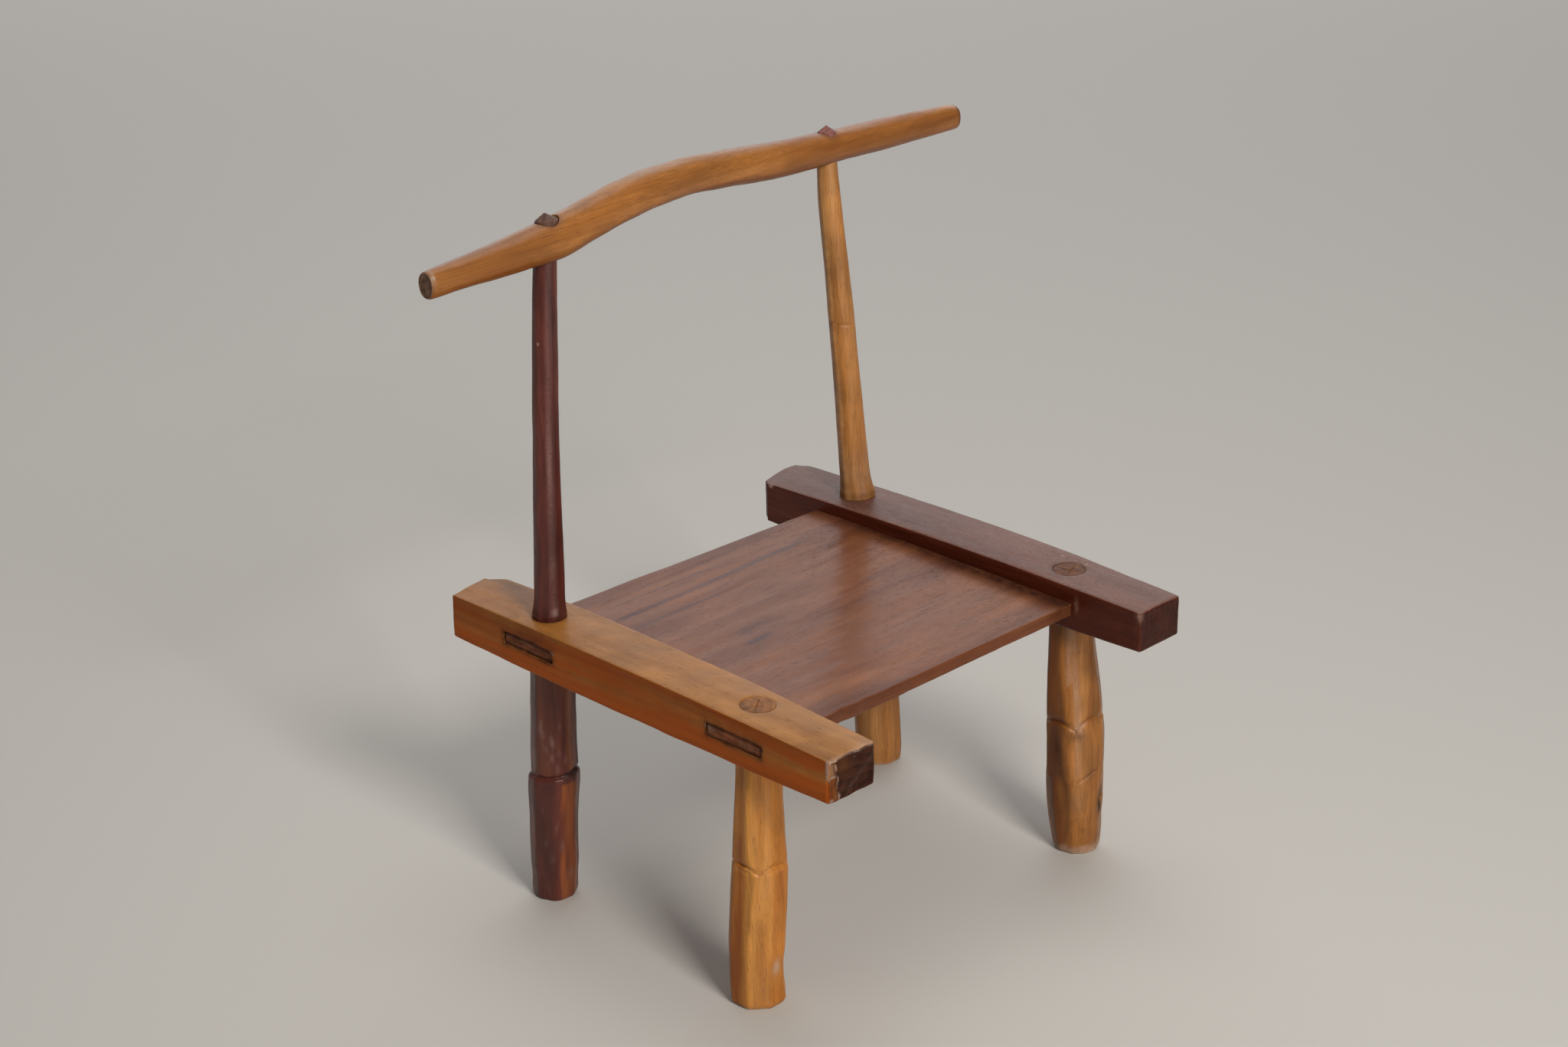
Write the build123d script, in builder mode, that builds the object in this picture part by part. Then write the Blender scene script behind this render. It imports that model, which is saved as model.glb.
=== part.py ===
from build123d import *
import math
import os

# Low four-legged birthing chair, all wood, held together by through mortises.
# Millimetres, +Z up, the floor at Z = 0, the chair faces -Y, +X is to the
# viewer's right of someone looking along +Y. The origin is the centre of the
# chair's footprint box on the floor.

os.makedirs("parts", exist_ok=True)

# ---------------------------------------------------------------- dimensions
GAP = 0.15  # radial play of a round tenon in its hole
SHOULDER_Z = 223.0  # underside of both rails where the legs shoulder

# Rails: fish-bellied beams. Plan edges are (y, x) at front, middle and rear,
# top and bottom edges are (y, z) at front, middle and rear.
L_LOW = [(-223.75, -219.64), (-3.05, -215.41), (218.4, -212.68)]
L_HIGH = [(-223.75, -170.84), (-3.05, -160.01), (205.2, -159.4)]
L_TOP = [(-223.75, 261.2), (-3.05, 263.55), (225.4, 262.5)]
L_BOT = [(-223.75, 225.0), (-3.05, 221.75), (225.4, 224.7)]
L_REAR = [(-212.68, 218.4), (-170.8, 225.4), (-164.0, 219.0), (-159.4, 205.2)]
L_FRONT = [(-219.6, -222.3), (-217.9, -223.75)]  # slightly broken outer front corner

R_LOW = [(-225.45, 140.48), (-7.4, 141.6), (204.5, 137.6)]
R_HIGH = [(-225.45, 190.43), (-7.4, 198.9), (199.0, 194.3)]
R_TOP = [(-225.45, 262.3), (-7.4, 263.9), (215.5, 261.1)]
R_BOT = [(-225.45, 227.3), (-7.4, 221.45), (215.5, 225.0)]
R_REAR = [(137.6, 204.5), (164.5, 213.0), (180.2, 215.5), (190.5, 211.8), (194.3, 199.0)]
RAIL_EDGE = 2.4  # rounding of the rails' long edges

# Seat: a plank pitched slightly back, with two through tenons each side.
SEAT_T = 11.2
SEAT_Z = 249.15  # top surface at y = 0
SEAT_PITCH = 0.847  # degrees, front edge lower
SEAT_FL, SEAT_FR = -150.95, -150.8  # front edge y at the left and right end
SEAT_RL, SEAT_RR = 152.35, 139.75  # rear edge y at the left and right end
TENON_T = 10.6
L_TENONS = [(-149.6, -89.0), (92.6, 151.4)]  # y from, to
R_TENONS = [(-144.2, -84.0), (80.0, 138.9)]
SLOT_END = 1.6  # the slots are this much longer at each end
SLOT_PLAY = 0.3  # and this much taller in all

# Sticks: (z, x, y, r), r is half the width across the flats of the octagon
LEG_LF = [
    (0, -185.7, -107.3, 19.6), (5, -185.9, -107.3, 21.9), (17, -186.8, -107.1, 21.6),
    (37, -187.2, -107.5, 21.6), (50, -187.0, -108.0, 22.3), (67, -186.9, -109.1, 22.3),
    (86, -186.4, -110.5, 22.6), (106, -186.1, -111.6, 22.4), (118, -185.9, -112.3, 22.2),
    (122.6, -185.9, -112.6, 19.4), (126.5, -186.1, -112.8, 21.4), (144, -186.5, -113.1, 20.7),
    (163, -186.8, -113.6, 19.9), (183, -187.1, -114.2, 18.9), (201, -187.1, -115.0, 18.5),
    (SHOULDER_Z, -187.3, -115.6, 18.0),
]
LEG_RF = [
    (0, 181.9, -128.3, 17.4), (5, 181.3, -127.9, 20.2), (19, 180.4, -127.5, 22.0),
    (32, 179.5, -127.2, 23.0), (50, 178.7, -127.2, 24.4), (72, 178.0, -127.5, 24.6),
    (93, 177.5, -128.1, 24.8), (112, 176.9, -128.4, 24.7), (119, 176.4, -128.3, 24.2),
    (123.8, 175.8, -128.1, 21.0), (128.5, 175.6, -128.3, 23.8), (144, 174.8, -128.0, 23.4),
    (154, 174.2, -127.8, 22.8), (175, 172.9, -127.5, 21.5), (195, 171.7, -127.2, 20.0),
    (SHOULDER_Z, 170.3, -127.1, 18.6),
]
LEG_LR = [
    (0, -180.8, 141.2, 17.2), (5, -180.9, 141.0, 19.0), (21, -181.3, 139.9, 19.3),
    (32, -181.6, 139.2, 20.1), (53, -182.2, 138.0, 20.1), (74, -182.7, 136.4, 20.2),
    (94, -183.0, 134.9, 20.9), (107, -182.9, 133.8, 21.5), (112, -182.8, 133.5, 21.2),
    (117, -182.7, 133.0, 18.4), (121.5, -182.8, 132.3, 19.7), (146, -183.7, 130.9, 19.4),
    (166, -184.0, 129.3, 19.1), (187, -184.6, 127.9, 18.7), (207, -185.0, 126.5, 18.6),
    (SHOULDER_Z, -185.6, 125.6, 18.2),
]
LEG_RR = [
    (0, 189.7, 114.6, 18.6), (5, 189.5, 114.5, 20.0), (21, 189.0, 114.2, 20.7),
    (35, 188.3, 114.2, 20.6), (55, 187.2, 114.4, 20.8), (80, 185.6, 114.9, 21.4),
    (104, 183.9, 115.5, 22.0), (115, 183.1, 115.8, 21.8), (119.5, 182.7, 116.0, 19.0),
    (124, 182.3, 116.1, 21.0), (150, 180.1, 116.9, 20.6), (175, 177.9, 117.8, 20.0),
    (200, 175.5, 118.7, 19.4), (SHOULDER_Z, 173.6, 119.4, 18.8),
]
TENON_LF = [(SHOULDER_Z, -187.7, -116.2, 13.8), (262.7, -188.0, -116.55, 13.8)]
TENON_RF = [(SHOULDER_Z, 169.6, -125.8, 13.6), (263.2, 169.0, -125.05, 13.6)]
TENON_LR = [(SHOULDER_Z, -186.6, 125.2, 13.9), (263.2, -187.3, 124.1, 13.9)]
TENON_RR = [(SHOULDER_Z, 173.0, 119.6, 15.3), (263.0, 171.2, 120.1, 15.3)]
POST_L = [
    (263.2, -187.3, 124.1, 13.9), (268, -187.3, 123.9, 13.6), (283, -186.9, 123.2, 12.6),
    (300, -186.8, 122.7, 12.5), (334, -186.6, 121.7, 11.9), (367, -186.4, 120.8, 11.5),
    (400, -186.3, 119.9, 10.9), (433, -185.9, 118.8, 10.5), (466, -185.4, 117.6, 10.4),
    (498, -185.0, 116.5, 10.2), (530, -184.4, 115.2, 9.8), (561, -183.6, 113.7, 9.5),
]
POST_R = [
    (263.0, 171.2, 120.1, 15.3), (268, 170.8, 120.2, 14.8), (283, 168.8, 120.9, 13.4),
    (317, 165.7, 121.4, 12.6), (351, 162.9, 121.6, 12.0), (384, 159.8, 121.9, 11.5),
    (417, 156.8, 122.4, 11.3), (434, 155.3, 122.6, 11.3), (450, 153.8, 122.8, 11.0),
    (482, 150.6, 123.4, 10.4), (514, 147.4, 124.1, 10.0), (546, 144.3, 124.7, 9.5),
    (560, 143.2, 124.8, 8.9),
]
TIP_L = [(561, -183.6, 113.7, 9.5), (600.5, -182.1, 111.2, 9.3)]
TIP_R = [(560, 143.2, 124.8, 8.9), (598.5, 140.8, 124.3, 8.2)]
PEAK_L = [(600.5, -182.1, 111.2, 9.3), (605.2, -181.9, 110.9, 3.0)]
PEAK_R = [(598.5, 140.8, 124.3, 8.2), (603.2, 140.7, 124.2, 2.6)]

# Crest rail: (x, z of the middle, half height, half depth); its line in plan
# runs a little backward to the right
CREST_Y0, CREST_SLOPE = 118.4, 0.041
CREST = [
    (-308.8, 579.4, 9.0, 7.0), (-305.6, 579.6, 10.6, 8.5), (-280, 580.4, 11.3, 9.8),
    (-249, 580.9, 12.8, 11.2), (-217, 581.7, 14.5, 12.6), (-184.5, 583.4, 16.6, 13.6),
    (-168, 584.9, 17.4, 14.0), (-134, 590.4, 16.8, 14.0), (-100, 595.6, 16.5, 13.7),
    (-66, 598.9, 15.9, 13.3), (-31, 599.0, 15.1, 13.0), (5, 595.9, 15.1, 13.0),
    (41, 592.0, 15.5, 13.0), (78, 588.3, 15.3, 13.0), (115.6, 585.7, 14.5, 12.8),
    (154, 583.5, 13.6, 12.6), (193, 581.0, 13.4, 12.0), (233, 578.7, 12.5, 11.0),
    (274, 576.6, 11.5, 9.8), (305.0, 574.6, 10.8, 8.8), (309.3, 573.6, 8.2, 6.6),
]


def on_arc(points, s):
    """Value at s on the circle through three (s, value) points."""
    (a1, b1), (a2, b2), (a3, b3) = points
    d = 2 * (a1 * (b2 - b3) + a2 * (b3 - b1) + a3 * (b1 - b2))
    q1, q2, q3 = a1**2 + b1**2, a2**2 + b2**2, a3**2 + b3**2
    ca = (q1 * (b2 - b3) + q2 * (b3 - b1) + q3 * (b1 - b2)) / d
    cb = (q1 * (a3 - a2) + q2 * (a1 - a3) + q3 * (a2 - a1)) / d
    r = math.hypot(a1 - ca, b1 - cb)
    side = 1 if b2 > cb else -1
    return cb + side * math.sqrt(r**2 - (s - ca) ** 2)


def yx(point, dx=0.0):
    """A (y, x) edge point as (x, y), moved by dx."""
    return (point[1] + dx, point[0])


def seat_top(y):
    return SEAT_Z + math.tan(math.radians(SEAT_PITCH)) * y


OCT = 1 / math.cos(math.pi / 8)  # corner radius over half width across flats


def hole_plane(station):
    return Plane(origin=(station[1], station[2], station[0]))


# ---------------------------------------------------------------- left rail
with BuildPart() as left_rail:
    with BuildSketch(Plane.YZ.offset(-240)):
        with BuildLine():
            ThreePointArc(*L_TOP)
            Line(L_TOP[2], L_BOT[2])
            ThreePointArc(*reversed(L_BOT))
            Line(L_BOT[0], L_TOP[0])
        make_face()
    extrude(amount=110)
    with BuildSketch(Plane.XY.offset(200)):
        with BuildLine():
            front_low = (on_arc(L_LOW, L_FRONT[0][1]), L_FRONT[0][1])
            mid_low = (on_arc(L_LOW, -3.05), -3.05)
            ThreePointArc(front_low, mid_low, yx(L_LOW[2]))
            Polyline(*L_REAR)
            ThreePointArc(*[yx(p) for p in reversed(L_HIGH)])
            Polyline(yx(L_HIGH[0]), L_FRONT[1], front_low)
        make_face()
    extrude(amount=90, mode=Mode.INTERSECT)
    fillet(left_rail.edges().filter_by(lambda e: e.length > 300), RAIL_EDGE)
    # flat seats for the legs' shoulders on the bellied underside
    for x, y, r in ((-187.3, -115.6, 20.5), (-185.6, 125.6, 20.5)):
        with BuildSketch(Plane(origin=(x, y, 200))):
            Circle(r)
        extrude(amount=SHOULDER_Z - 200, mode=Mode.SUBTRACT)
    # round mortises
    for tenon in (TENON_LF, TENON_LR):
        (z0, x0, y0, r0), (z1, x1, y1, r1) = tenon
        k = 6 / (z1 - z0)
        with BuildSketch(Plane(origin=(x0 - (x1 - x0) * k, y0 - (y1 - y0) * k, z0 - 6))):
            Circle(r0 + GAP)
        with BuildSketch(Plane(origin=(x1 + (x1 - x0) * k, y1 + (y1 - y0) * k, z1 + 6))):
            Circle(r1 + GAP)
        loft(mode=Mode.SUBTRACT)
    # flat mortises for the seat tenons, round-ended
    for y0, y1 in L_TENONS:
        ym = (y0 + y1) / 2
        with BuildSketch(
            Plane(
                origin=(-235, ym, seat_top(ym) - SEAT_T / 2),
                x_dir=(0, 1, math.tan(math.radians(SEAT_PITCH))),
                z_dir=(1, 0, 0),
            )
        ):
            SlotOverall(y1 - y0 + 2 * SLOT_END, TENON_T + SLOT_PLAY)
        extrude(amount=100, mode=Mode.SUBTRACT)

# ---------------------------------------------------------------- right rail
with BuildPart() as right_rail:
    with BuildSketch(Plane.YZ.offset(110)):
        with BuildLine():
            ThreePointArc(*R_TOP)
            Line(R_TOP[2], R_BOT[2])
            ThreePointArc(*reversed(R_BOT))
            Line(R_BOT[0], R_TOP[0])
        make_face()
    extrude(amount=110)
    with BuildSketch(Plane.XY.offset(200)):
        with BuildLine():
            ThreePointArc(*[yx(p) for p in R_LOW])
            Polyline(*R_REAR)
            ThreePointArc(*[yx(p) for p in reversed(R_HIGH)])
            Line(yx(R_HIGH[0]), yx(R_LOW[0]))
        make_face()
    extrude(amount=90, mode=Mode.INTERSECT)
    fillet(right_rail.edges().filter_by(lambda e: e.length > 300), RAIL_EDGE)
    for x, y, r in ((170.3, -127.1, 21.5), (173.6, 119.4, 21.5)):
        with BuildSketch(Plane(origin=(x, y, 200))):
            Circle(r)
        extrude(amount=SHOULDER_Z - 200, mode=Mode.SUBTRACT)
    for tenon in (TENON_RF, TENON_RR):
        (z0, x0, y0, r0), (z1, x1, y1, r1) = tenon
        k = 6 / (z1 - z0)
        with BuildSketch(Plane(origin=(x0 - (x1 - x0) * k, y0 - (y1 - y0) * k, z0 - 6))):
            Circle(r0 + GAP)
        with BuildSketch(Plane(origin=(x1 + (x1 - x0) * k, y1 + (y1 - y0) * k, z1 + 6))):
            Circle(r1 + GAP)
        loft(mode=Mode.SUBTRACT)
    for y0, y1 in R_TENONS:
        ym = (y0 + y1) / 2
        with BuildSketch(
            Plane(
                origin=(120, ym, seat_top(ym) - SEAT_T / 2),
                x_dir=(0, 1, math.tan(math.radians(SEAT_PITCH))),
                z_dir=(1, 0, 0),
            )
        ):
            SlotOverall(y1 - y0 + 2 * SLOT_END, TENON_T + SLOT_PLAY)
        extrude(amount=100, mode=Mode.SUBTRACT)

# ---------------------------------------------------------------- seat board
SEAT_PLANE = Plane(
    origin=(0, 0, SEAT_Z - SEAT_T),
    x_dir=(1, 0, 0),
    z_dir=(0, -math.sin(math.radians(SEAT_PITCH)), math.cos(math.radians(SEAT_PITCH))),
)
PLAY = 0.2  # between the plank's shoulders and the rails
with BuildPart() as seat_board:
    with BuildSketch(SEAT_PLANE):
        with BuildLine():
            l_front = (on_arc(L_HIGH, SEAT_FL) + PLAY, SEAT_FL)
            l_mid = (on_arc(L_HIGH, 0) + PLAY, 0)
            l_rear = (on_arc(L_HIGH, SEAT_RL) + PLAY, SEAT_RL)
            r_front = (on_arc(R_LOW, SEAT_FR) - PLAY, SEAT_FR)
            r_mid = (on_arc(R_LOW, 0) - PLAY, 0)
            r_rear = (on_arc(R_LOW, SEAT_RR) - PLAY, SEAT_RR)
            ThreePointArc(l_front, l_mid, l_rear)
            Line(l_rear, r_rear)
            ThreePointArc(r_rear, r_mid, r_front)
            Line(r_front, l_front)
        make_face()
    extrude(amount=SEAT_T)
    chamfer(
        seat_board.edges().filter_by(lambda e: e.length > 250).group_by(Axis.Y)[0],
        1.2,
    )
    chamfer(
        seat_board.edges().filter_by(lambda e: e.length > 250).group_by(Axis.Y)[-1],
        1.2,
    )
    for tenons, high, start, way in (
        (L_TENONS, L_LOW, -150.0, -1),
        (R_TENONS, R_HIGH, 135.0, 1),
    ):
        for y0, y1 in tenons:
            ym = (y0 + y1) / 2
            end = on_arc(high, ym) + 0.6 * way
            with BuildSketch(
                Plane(
                    origin=(start, ym, seat_top(ym) - SEAT_T / 2),
                    x_dir=(0, 1, math.tan(math.radians(SEAT_PITCH))),
                    z_dir=(1, 0, 0),
                )
            ):
                SlotOverall(y1 - y0, TENON_T)
            extrude(amount=end - start)
    # the sticks pass through the tenons and lock them
    for tenon in (TENON_LF, TENON_LR, TENON_RF, TENON_RR):
        (z0, x0, y0, r0), (z1, x1, y1, r1) = tenon
        with BuildSketch(Plane(origin=(x0, y0, z0))):
            Circle(r0 + GAP)
        with BuildSketch(Plane(origin=(x1, y1, z1))):
            Circle(r1 + GAP)
        loft(mode=Mode.SUBTRACT)

# ---------------------------------------------------------------- front legs
with BuildPart() as left_front_leg:
    for z, x, y, r in LEG_LF:
        with BuildSketch(Plane(origin=(x, y, z))):
            RegularPolygon(radius=r * OCT, side_count=8, rotation=22.5)
    loft(ruled=True)
    for z, x, y, r in TENON_LF:
        with BuildSketch(Plane(origin=(x, y, z))):
            Circle(r)
    loft()

with BuildPart() as right_front_leg:
    for z, x, y, r in LEG_RF:
        with BuildSketch(Plane(origin=(x, y, z))):
            RegularPolygon(radius=r * OCT, side_count=8, rotation=22.5)
    loft(ruled=True)
    for z, x, y, r in TENON_RF:
        with BuildSketch(Plane(origin=(x, y, z))):
            Circle(r)
    loft()

# ---------------------------------------------------------------- rear sticks
with BuildPart() as left_rear_leg_post:
    for z, x, y, r in LEG_LR:
        with BuildSketch(Plane(origin=(x, y, z))):
            RegularPolygon(radius=r * OCT, side_count=8, rotation=22.5)
    loft(ruled=True)
    for run in (TENON_LR, POST_L, TIP_L, PEAK_L):
        for z, x, y, r in run:
            with BuildSketch(Plane(origin=(x, y, z))):
                Circle(r)
        loft()

with BuildPart() as right_rear_leg_post:
    for z, x, y, r in LEG_RR:
        with BuildSketch(Plane(origin=(x, y, z))):
            RegularPolygon(radius=r * OCT, side_count=8, rotation=22.5)
    loft(ruled=True)
    for run in (TENON_RR, POST_R, TIP_R, PEAK_R):
        for z, x, y, r in run:
            with BuildSketch(Plane(origin=(x, y, z))):
                Circle(r)
        loft()

# ---------------------------------------------------------------- crest rail
with BuildPart() as crest_rail:
    for x, z, half_z, half_y in CREST:
        with BuildSketch(
            Plane(
                origin=(x, CREST_Y0 + CREST_SLOPE * x, z),
                x_dir=(0, 1, 0),
                z_dir=(1, 0, 0),
            )
        ):
            Ellipse(half_y, half_z)
    loft()
    for tip in (TIP_L, TIP_R):
        (z0, x0, y0, r0), (z1, x1, y1, r1) = tip
        k = 8 / (z1 - z0)
        with BuildSketch(Plane(origin=(x0, y0, z0))):
            Circle(r0 + GAP)
        with BuildSketch(Plane(origin=(x1 + (x1 - x0) * k, y1 + (y1 - y0) * k, z1 + 8))):
            Circle(r1 - (r0 - r1) * k + GAP)
        loft(mode=Mode.SUBTRACT)

# ---------------------------------------------------------------- write
left_rail.part.label = "left_rail"
right_rail.part.label = "right_rail"
seat_board.part.label = "seat_board"
left_front_leg.part.label = "left_front_leg"
right_front_leg.part.label = "right_front_leg"
left_rear_leg_post.part.label = "left_rear_leg_post"
right_rear_leg_post.part.label = "right_rear_leg_post"
crest_rail.part.label = "crest_rail"

export_step(left_rail.part, "parts/left_rail.step")
export_step(right_rail.part, "parts/right_rail.step")
export_step(seat_board.part, "parts/seat_board.step")
export_step(left_front_leg.part, "parts/left_front_leg.step")
export_step(right_front_leg.part, "parts/right_front_leg.step")
export_step(left_rear_leg_post.part, "parts/left_rear_leg_post.step")
export_step(right_rear_leg_post.part, "parts/right_rear_leg_post.step")
export_step(crest_rail.part, "parts/crest_rail.step")

for part in (
    seat_board, left_rail, right_rail, left_front_leg, right_front_leg,
    left_rear_leg_post, right_rear_leg_post, crest_rail,
):
    box = part.part.bounding_box()
    print(part.part.label, len(part.solids()), part.part.is_valid, round(part.part.volume),
          [round(v, 2) for v in (*box.min, *box.max)])
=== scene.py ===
import math

import bpy
import numpy as np
from mathutils import Matrix, Vector


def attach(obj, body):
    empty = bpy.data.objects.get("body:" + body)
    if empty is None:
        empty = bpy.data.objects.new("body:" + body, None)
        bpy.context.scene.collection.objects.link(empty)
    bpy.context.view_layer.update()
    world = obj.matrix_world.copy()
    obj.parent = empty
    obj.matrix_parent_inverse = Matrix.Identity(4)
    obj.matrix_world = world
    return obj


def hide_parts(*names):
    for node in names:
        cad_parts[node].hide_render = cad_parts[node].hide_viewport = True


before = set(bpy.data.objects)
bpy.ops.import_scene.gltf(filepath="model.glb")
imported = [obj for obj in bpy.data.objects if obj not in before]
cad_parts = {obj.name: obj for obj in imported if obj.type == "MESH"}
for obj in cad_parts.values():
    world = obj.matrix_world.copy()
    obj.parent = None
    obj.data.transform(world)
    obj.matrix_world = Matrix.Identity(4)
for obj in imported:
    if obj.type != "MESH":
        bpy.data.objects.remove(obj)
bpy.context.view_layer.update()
MM = 0.001


# =============================================================== arithmetic
def lerp(a, b, t):
    return a + (b - a) * t


def smooth(t):
    t = np.clip(t, 0.0, 1.0)
    return t * t * (3 - 2 * t)


def bell(x, width):
    return np.exp(-((x / width) ** 2))


def curve(points):
    """Monotone cubic through (s, value, ...) rows: gives a function of s."""
    rows = np.array(points, float)
    s, v = rows[:, 0], rows[:, 1:]
    h = np.diff(s)[:, None]
    d = np.diff(v, axis=0) / h
    m = np.zeros_like(v)
    m[0], m[-1] = d[0], d[-1]
    same = d[:-1] * d[1:] > 0
    w1, w2 = 2 * h[1:] + h[:-1], h[1:] + 2 * h[:-1]
    with np.errstate(divide="ignore", invalid="ignore"):
        inner = (w1 + w2) / (w1 / d[:-1] + w2 / d[1:])
    m[1:-1] = np.where(same, inner, 0.0)

    def at(x):
        x = np.clip(np.asarray(x, float), s[0], s[-1])
        i = np.clip(np.searchsorted(s, x, side="right") - 1, 0, len(s) - 2)
        hh = (s[i + 1] - s[i])[..., None]
        t = ((x - s[i]) / (s[i + 1] - s[i]))[..., None]
        out = (
            (2 * t**3 - 3 * t**2 + 1) * v[i]
            + (t**3 - 2 * t**2 + t) * hh * m[i]
            + (-2 * t**3 + 3 * t**2) * v[i + 1]
            + (t**3 - t**2) * hh * m[i + 1]
        )
        return out[..., 0] if out.shape[-1] == 1 else np.moveaxis(out, -1, 0)

    return at


def on_arc(points, s):
    """Value at s on the circle through three (s, value) points."""
    (a1, b1), (a2, b2), (a3, b3) = points
    d = 2 * (a1 * (b2 - b3) + a2 * (b3 - b1) + a3 * (b1 - b2))
    q1, q2, q3 = a1**2 + b1**2, a2**2 + b2**2, a3**2 + b3**2
    ca = (q1 * (b2 - b3) + q2 * (b3 - b1) + q3 * (b1 - b2)) / d
    cb = (q1 * (a3 - a2) + q2 * (a1 - a3) + q3 * (a2 - a1)) / d
    r = math.hypot(a1 - ca, b1 - cb)
    side = 1 if b2 > cb else -1
    return cb + side * np.sqrt(r**2 - (np.asarray(s, float) - ca) ** 2)


def _rand(i, j, k, seed):
    n = (i * 73856093) ^ (j * 19349663) ^ (k * 83492791) ^ (seed * 374761393)
    n = n & 0xFFFFFFFF
    n = ((n ^ (n >> 15)) * 2246822519) & 0xFFFFFFFF
    n = ((n ^ (n >> 13)) * 3266489917) & 0xFFFFFFFF
    return ((n ^ (n >> 16)) & 0xFFFFFF) / float(0xFFFFFF)


def noise(p, size, seed=0):
    """Smooth field from -1 to 1 over points (..., 3) in mm, with cells of that size."""
    q = p / np.asarray(size, float) + 0.37 * seed
    base = np.floor(q)
    t = q - base
    t = t * t * t * (t * (t * 6 - 15) + 10)
    i, j, k = (base[..., a].astype(np.int64) for a in range(3))
    out = 0.0
    for a in (0, 1):
        wa = t[..., 0] if a else 1 - t[..., 0]
        for b in (0, 1):
            wb = wa * (t[..., 1] if b else 1 - t[..., 1])
            for c in (0, 1):
                wc = wb * (t[..., 2] if c else 1 - t[..., 2])
                out = out + wc * _rand(i + a, j + b, k + c, seed)
    return out * 2 - 1


def fbm(p, size, seed=0, octaves=3, gain=0.5):
    total, amp, norm = 0.0, 1.0, 0.0
    size = np.asarray(size, float)
    for o in range(octaves):
        total = total + amp * noise(p, size / 2**o, seed + 11 * o)
        norm += amp
        amp *= gain
    return total / norm


# =================================================================== meshes
def mesh_object(name, verts_mm, quads, tris):
    """A new mesh object from points in mm, with faces turned outward."""
    v = verts_mm * MM
    q, t = np.asarray(quads, np.int64), np.asarray(tris, np.int64).reshape(-1, 3)
    a, b, c, d = (v[q[:, n]] for n in range(4))
    volume = np.einsum("ij,ij->i", a, np.cross(b, c)).sum()
    volume += np.einsum("ij,ij->i", a, np.cross(c, d)).sum()
    if len(t):
        volume += np.einsum("ij,ij->i", v[t[:, 0]], np.cross(v[t[:, 1]], v[t[:, 2]])).sum()
    if volume < 0:
        q, t = q[:, ::-1], t[:, ::-1]
    mesh = bpy.data.meshes.new(name)
    mesh.vertices.add(len(v))
    mesh.vertices.foreach_set("co", v.astype(np.float32).ravel())
    loops = np.concatenate([q.ravel(), t.ravel()]).astype(np.int32)
    sizes = np.concatenate([np.full(len(q), 4), np.full(len(t), 3)])
    starts = np.concatenate([[0], np.cumsum(sizes)[:-1]]).astype(np.int32)
    mesh.loops.add(len(loops))
    mesh.loops.foreach_set("vertex_index", loops)
    mesh.polygons.add(len(sizes))
    mesh.polygons.foreach_set("loop_start", starts)
    mesh.update(calc_edges=True)
    mesh.validate()
    obj = bpy.data.objects.new(name, mesh)
    bpy.context.scene.collection.objects.link(obj)
    return obj


def plank_skin(name, rows):
    """Closed surface through rings of points whose point i lies over point m - i. Each end closes straight across."""
    n, m, _ = rows.shape
    i = np.arange(n - 1)[:, None] * m
    j = np.arange(m)[None, :]
    k = (j + 1) % m
    quads = np.stack([i + j, i + k, i + m + k, i + m + j], -1).reshape(-1, 4)
    a = np.arange(1, m // 2 - 1)
    first = np.stack([a + 1, a, m - a, m - a - 1], 1)
    last = first[:, ::-1] + (n - 1) * m
    h = m // 2
    tips = np.array([[1, 0, m - 1], [h, h - 1, h + 1]])
    tips = np.vstack([tips, tips[:, ::-1] + (n - 1) * m])
    return mesh_object(name, rows.reshape(-1, 3), np.vstack([quads, first, last]), tips)


def skin(name, rows):
    """Closed surface through rings of points (rings, points, 3) in mm. Each end closes in its middle."""
    n, m, _ = rows.shape
    verts = np.vstack([rows.reshape(-1, 3), rows[0].mean(0)[None], rows[-1].mean(0)[None]])
    i = np.arange(n - 1)[:, None] * m
    j = np.arange(m)[None, :]
    k = (j + 1) % m
    quads = np.stack([i + j, i + k, i + m + k, i + m + j], -1).reshape(-1, 4)
    j, k = j[0], k[0]
    first = np.stack([np.full(m, n * m), k, j], 1)
    last = np.stack([np.full(m, n * m + 1), (n - 1) * m + j, (n - 1) * m + k], 1)
    return mesh_object(name, verts, quads, np.vstack([first, last]))


def points_of(obj):
    co = np.empty(len(obj.data.vertices) * 3, np.float32)
    obj.data.vertices.foreach_get("co", co)
    return co.reshape(-1, 3).astype(float) / MM


def normals_of(obj):
    no = np.empty(len(obj.data.vertices) * 3, np.float32)
    obj.data.vertex_normals.foreach_get("vector", no)
    return no.reshape(-1, 3).astype(float)


def put_points(obj, p):
    obj.data.vertices.foreach_set("co", (p * MM).astype(np.float32).ravel())
    obj.data.update()


def push(obj, field):
    """Moves each point along its normal by field(points, normals) mm."""
    p, n = points_of(obj), normals_of(obj)
    put_points(obj, p + n * field(p, n)[:, None])


def combine(obj, other, operation):
    mod = obj.modifiers.new("joint", "BOOLEAN")
    mod.operation = operation
    mod.solver = "EXACT"
    mod.object = other
    bpy.context.view_layer.update()
    made = bpy.data.meshes.new_from_object(obj.evaluated_get(bpy.context.evaluated_depsgraph_get()))
    obj.modifiers.clear()
    old = obj.data
    obj.data = made
    made.name = obj.name
    bpy.data.meshes.remove(old)
    bpy.data.objects.remove(other)
    return obj


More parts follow.
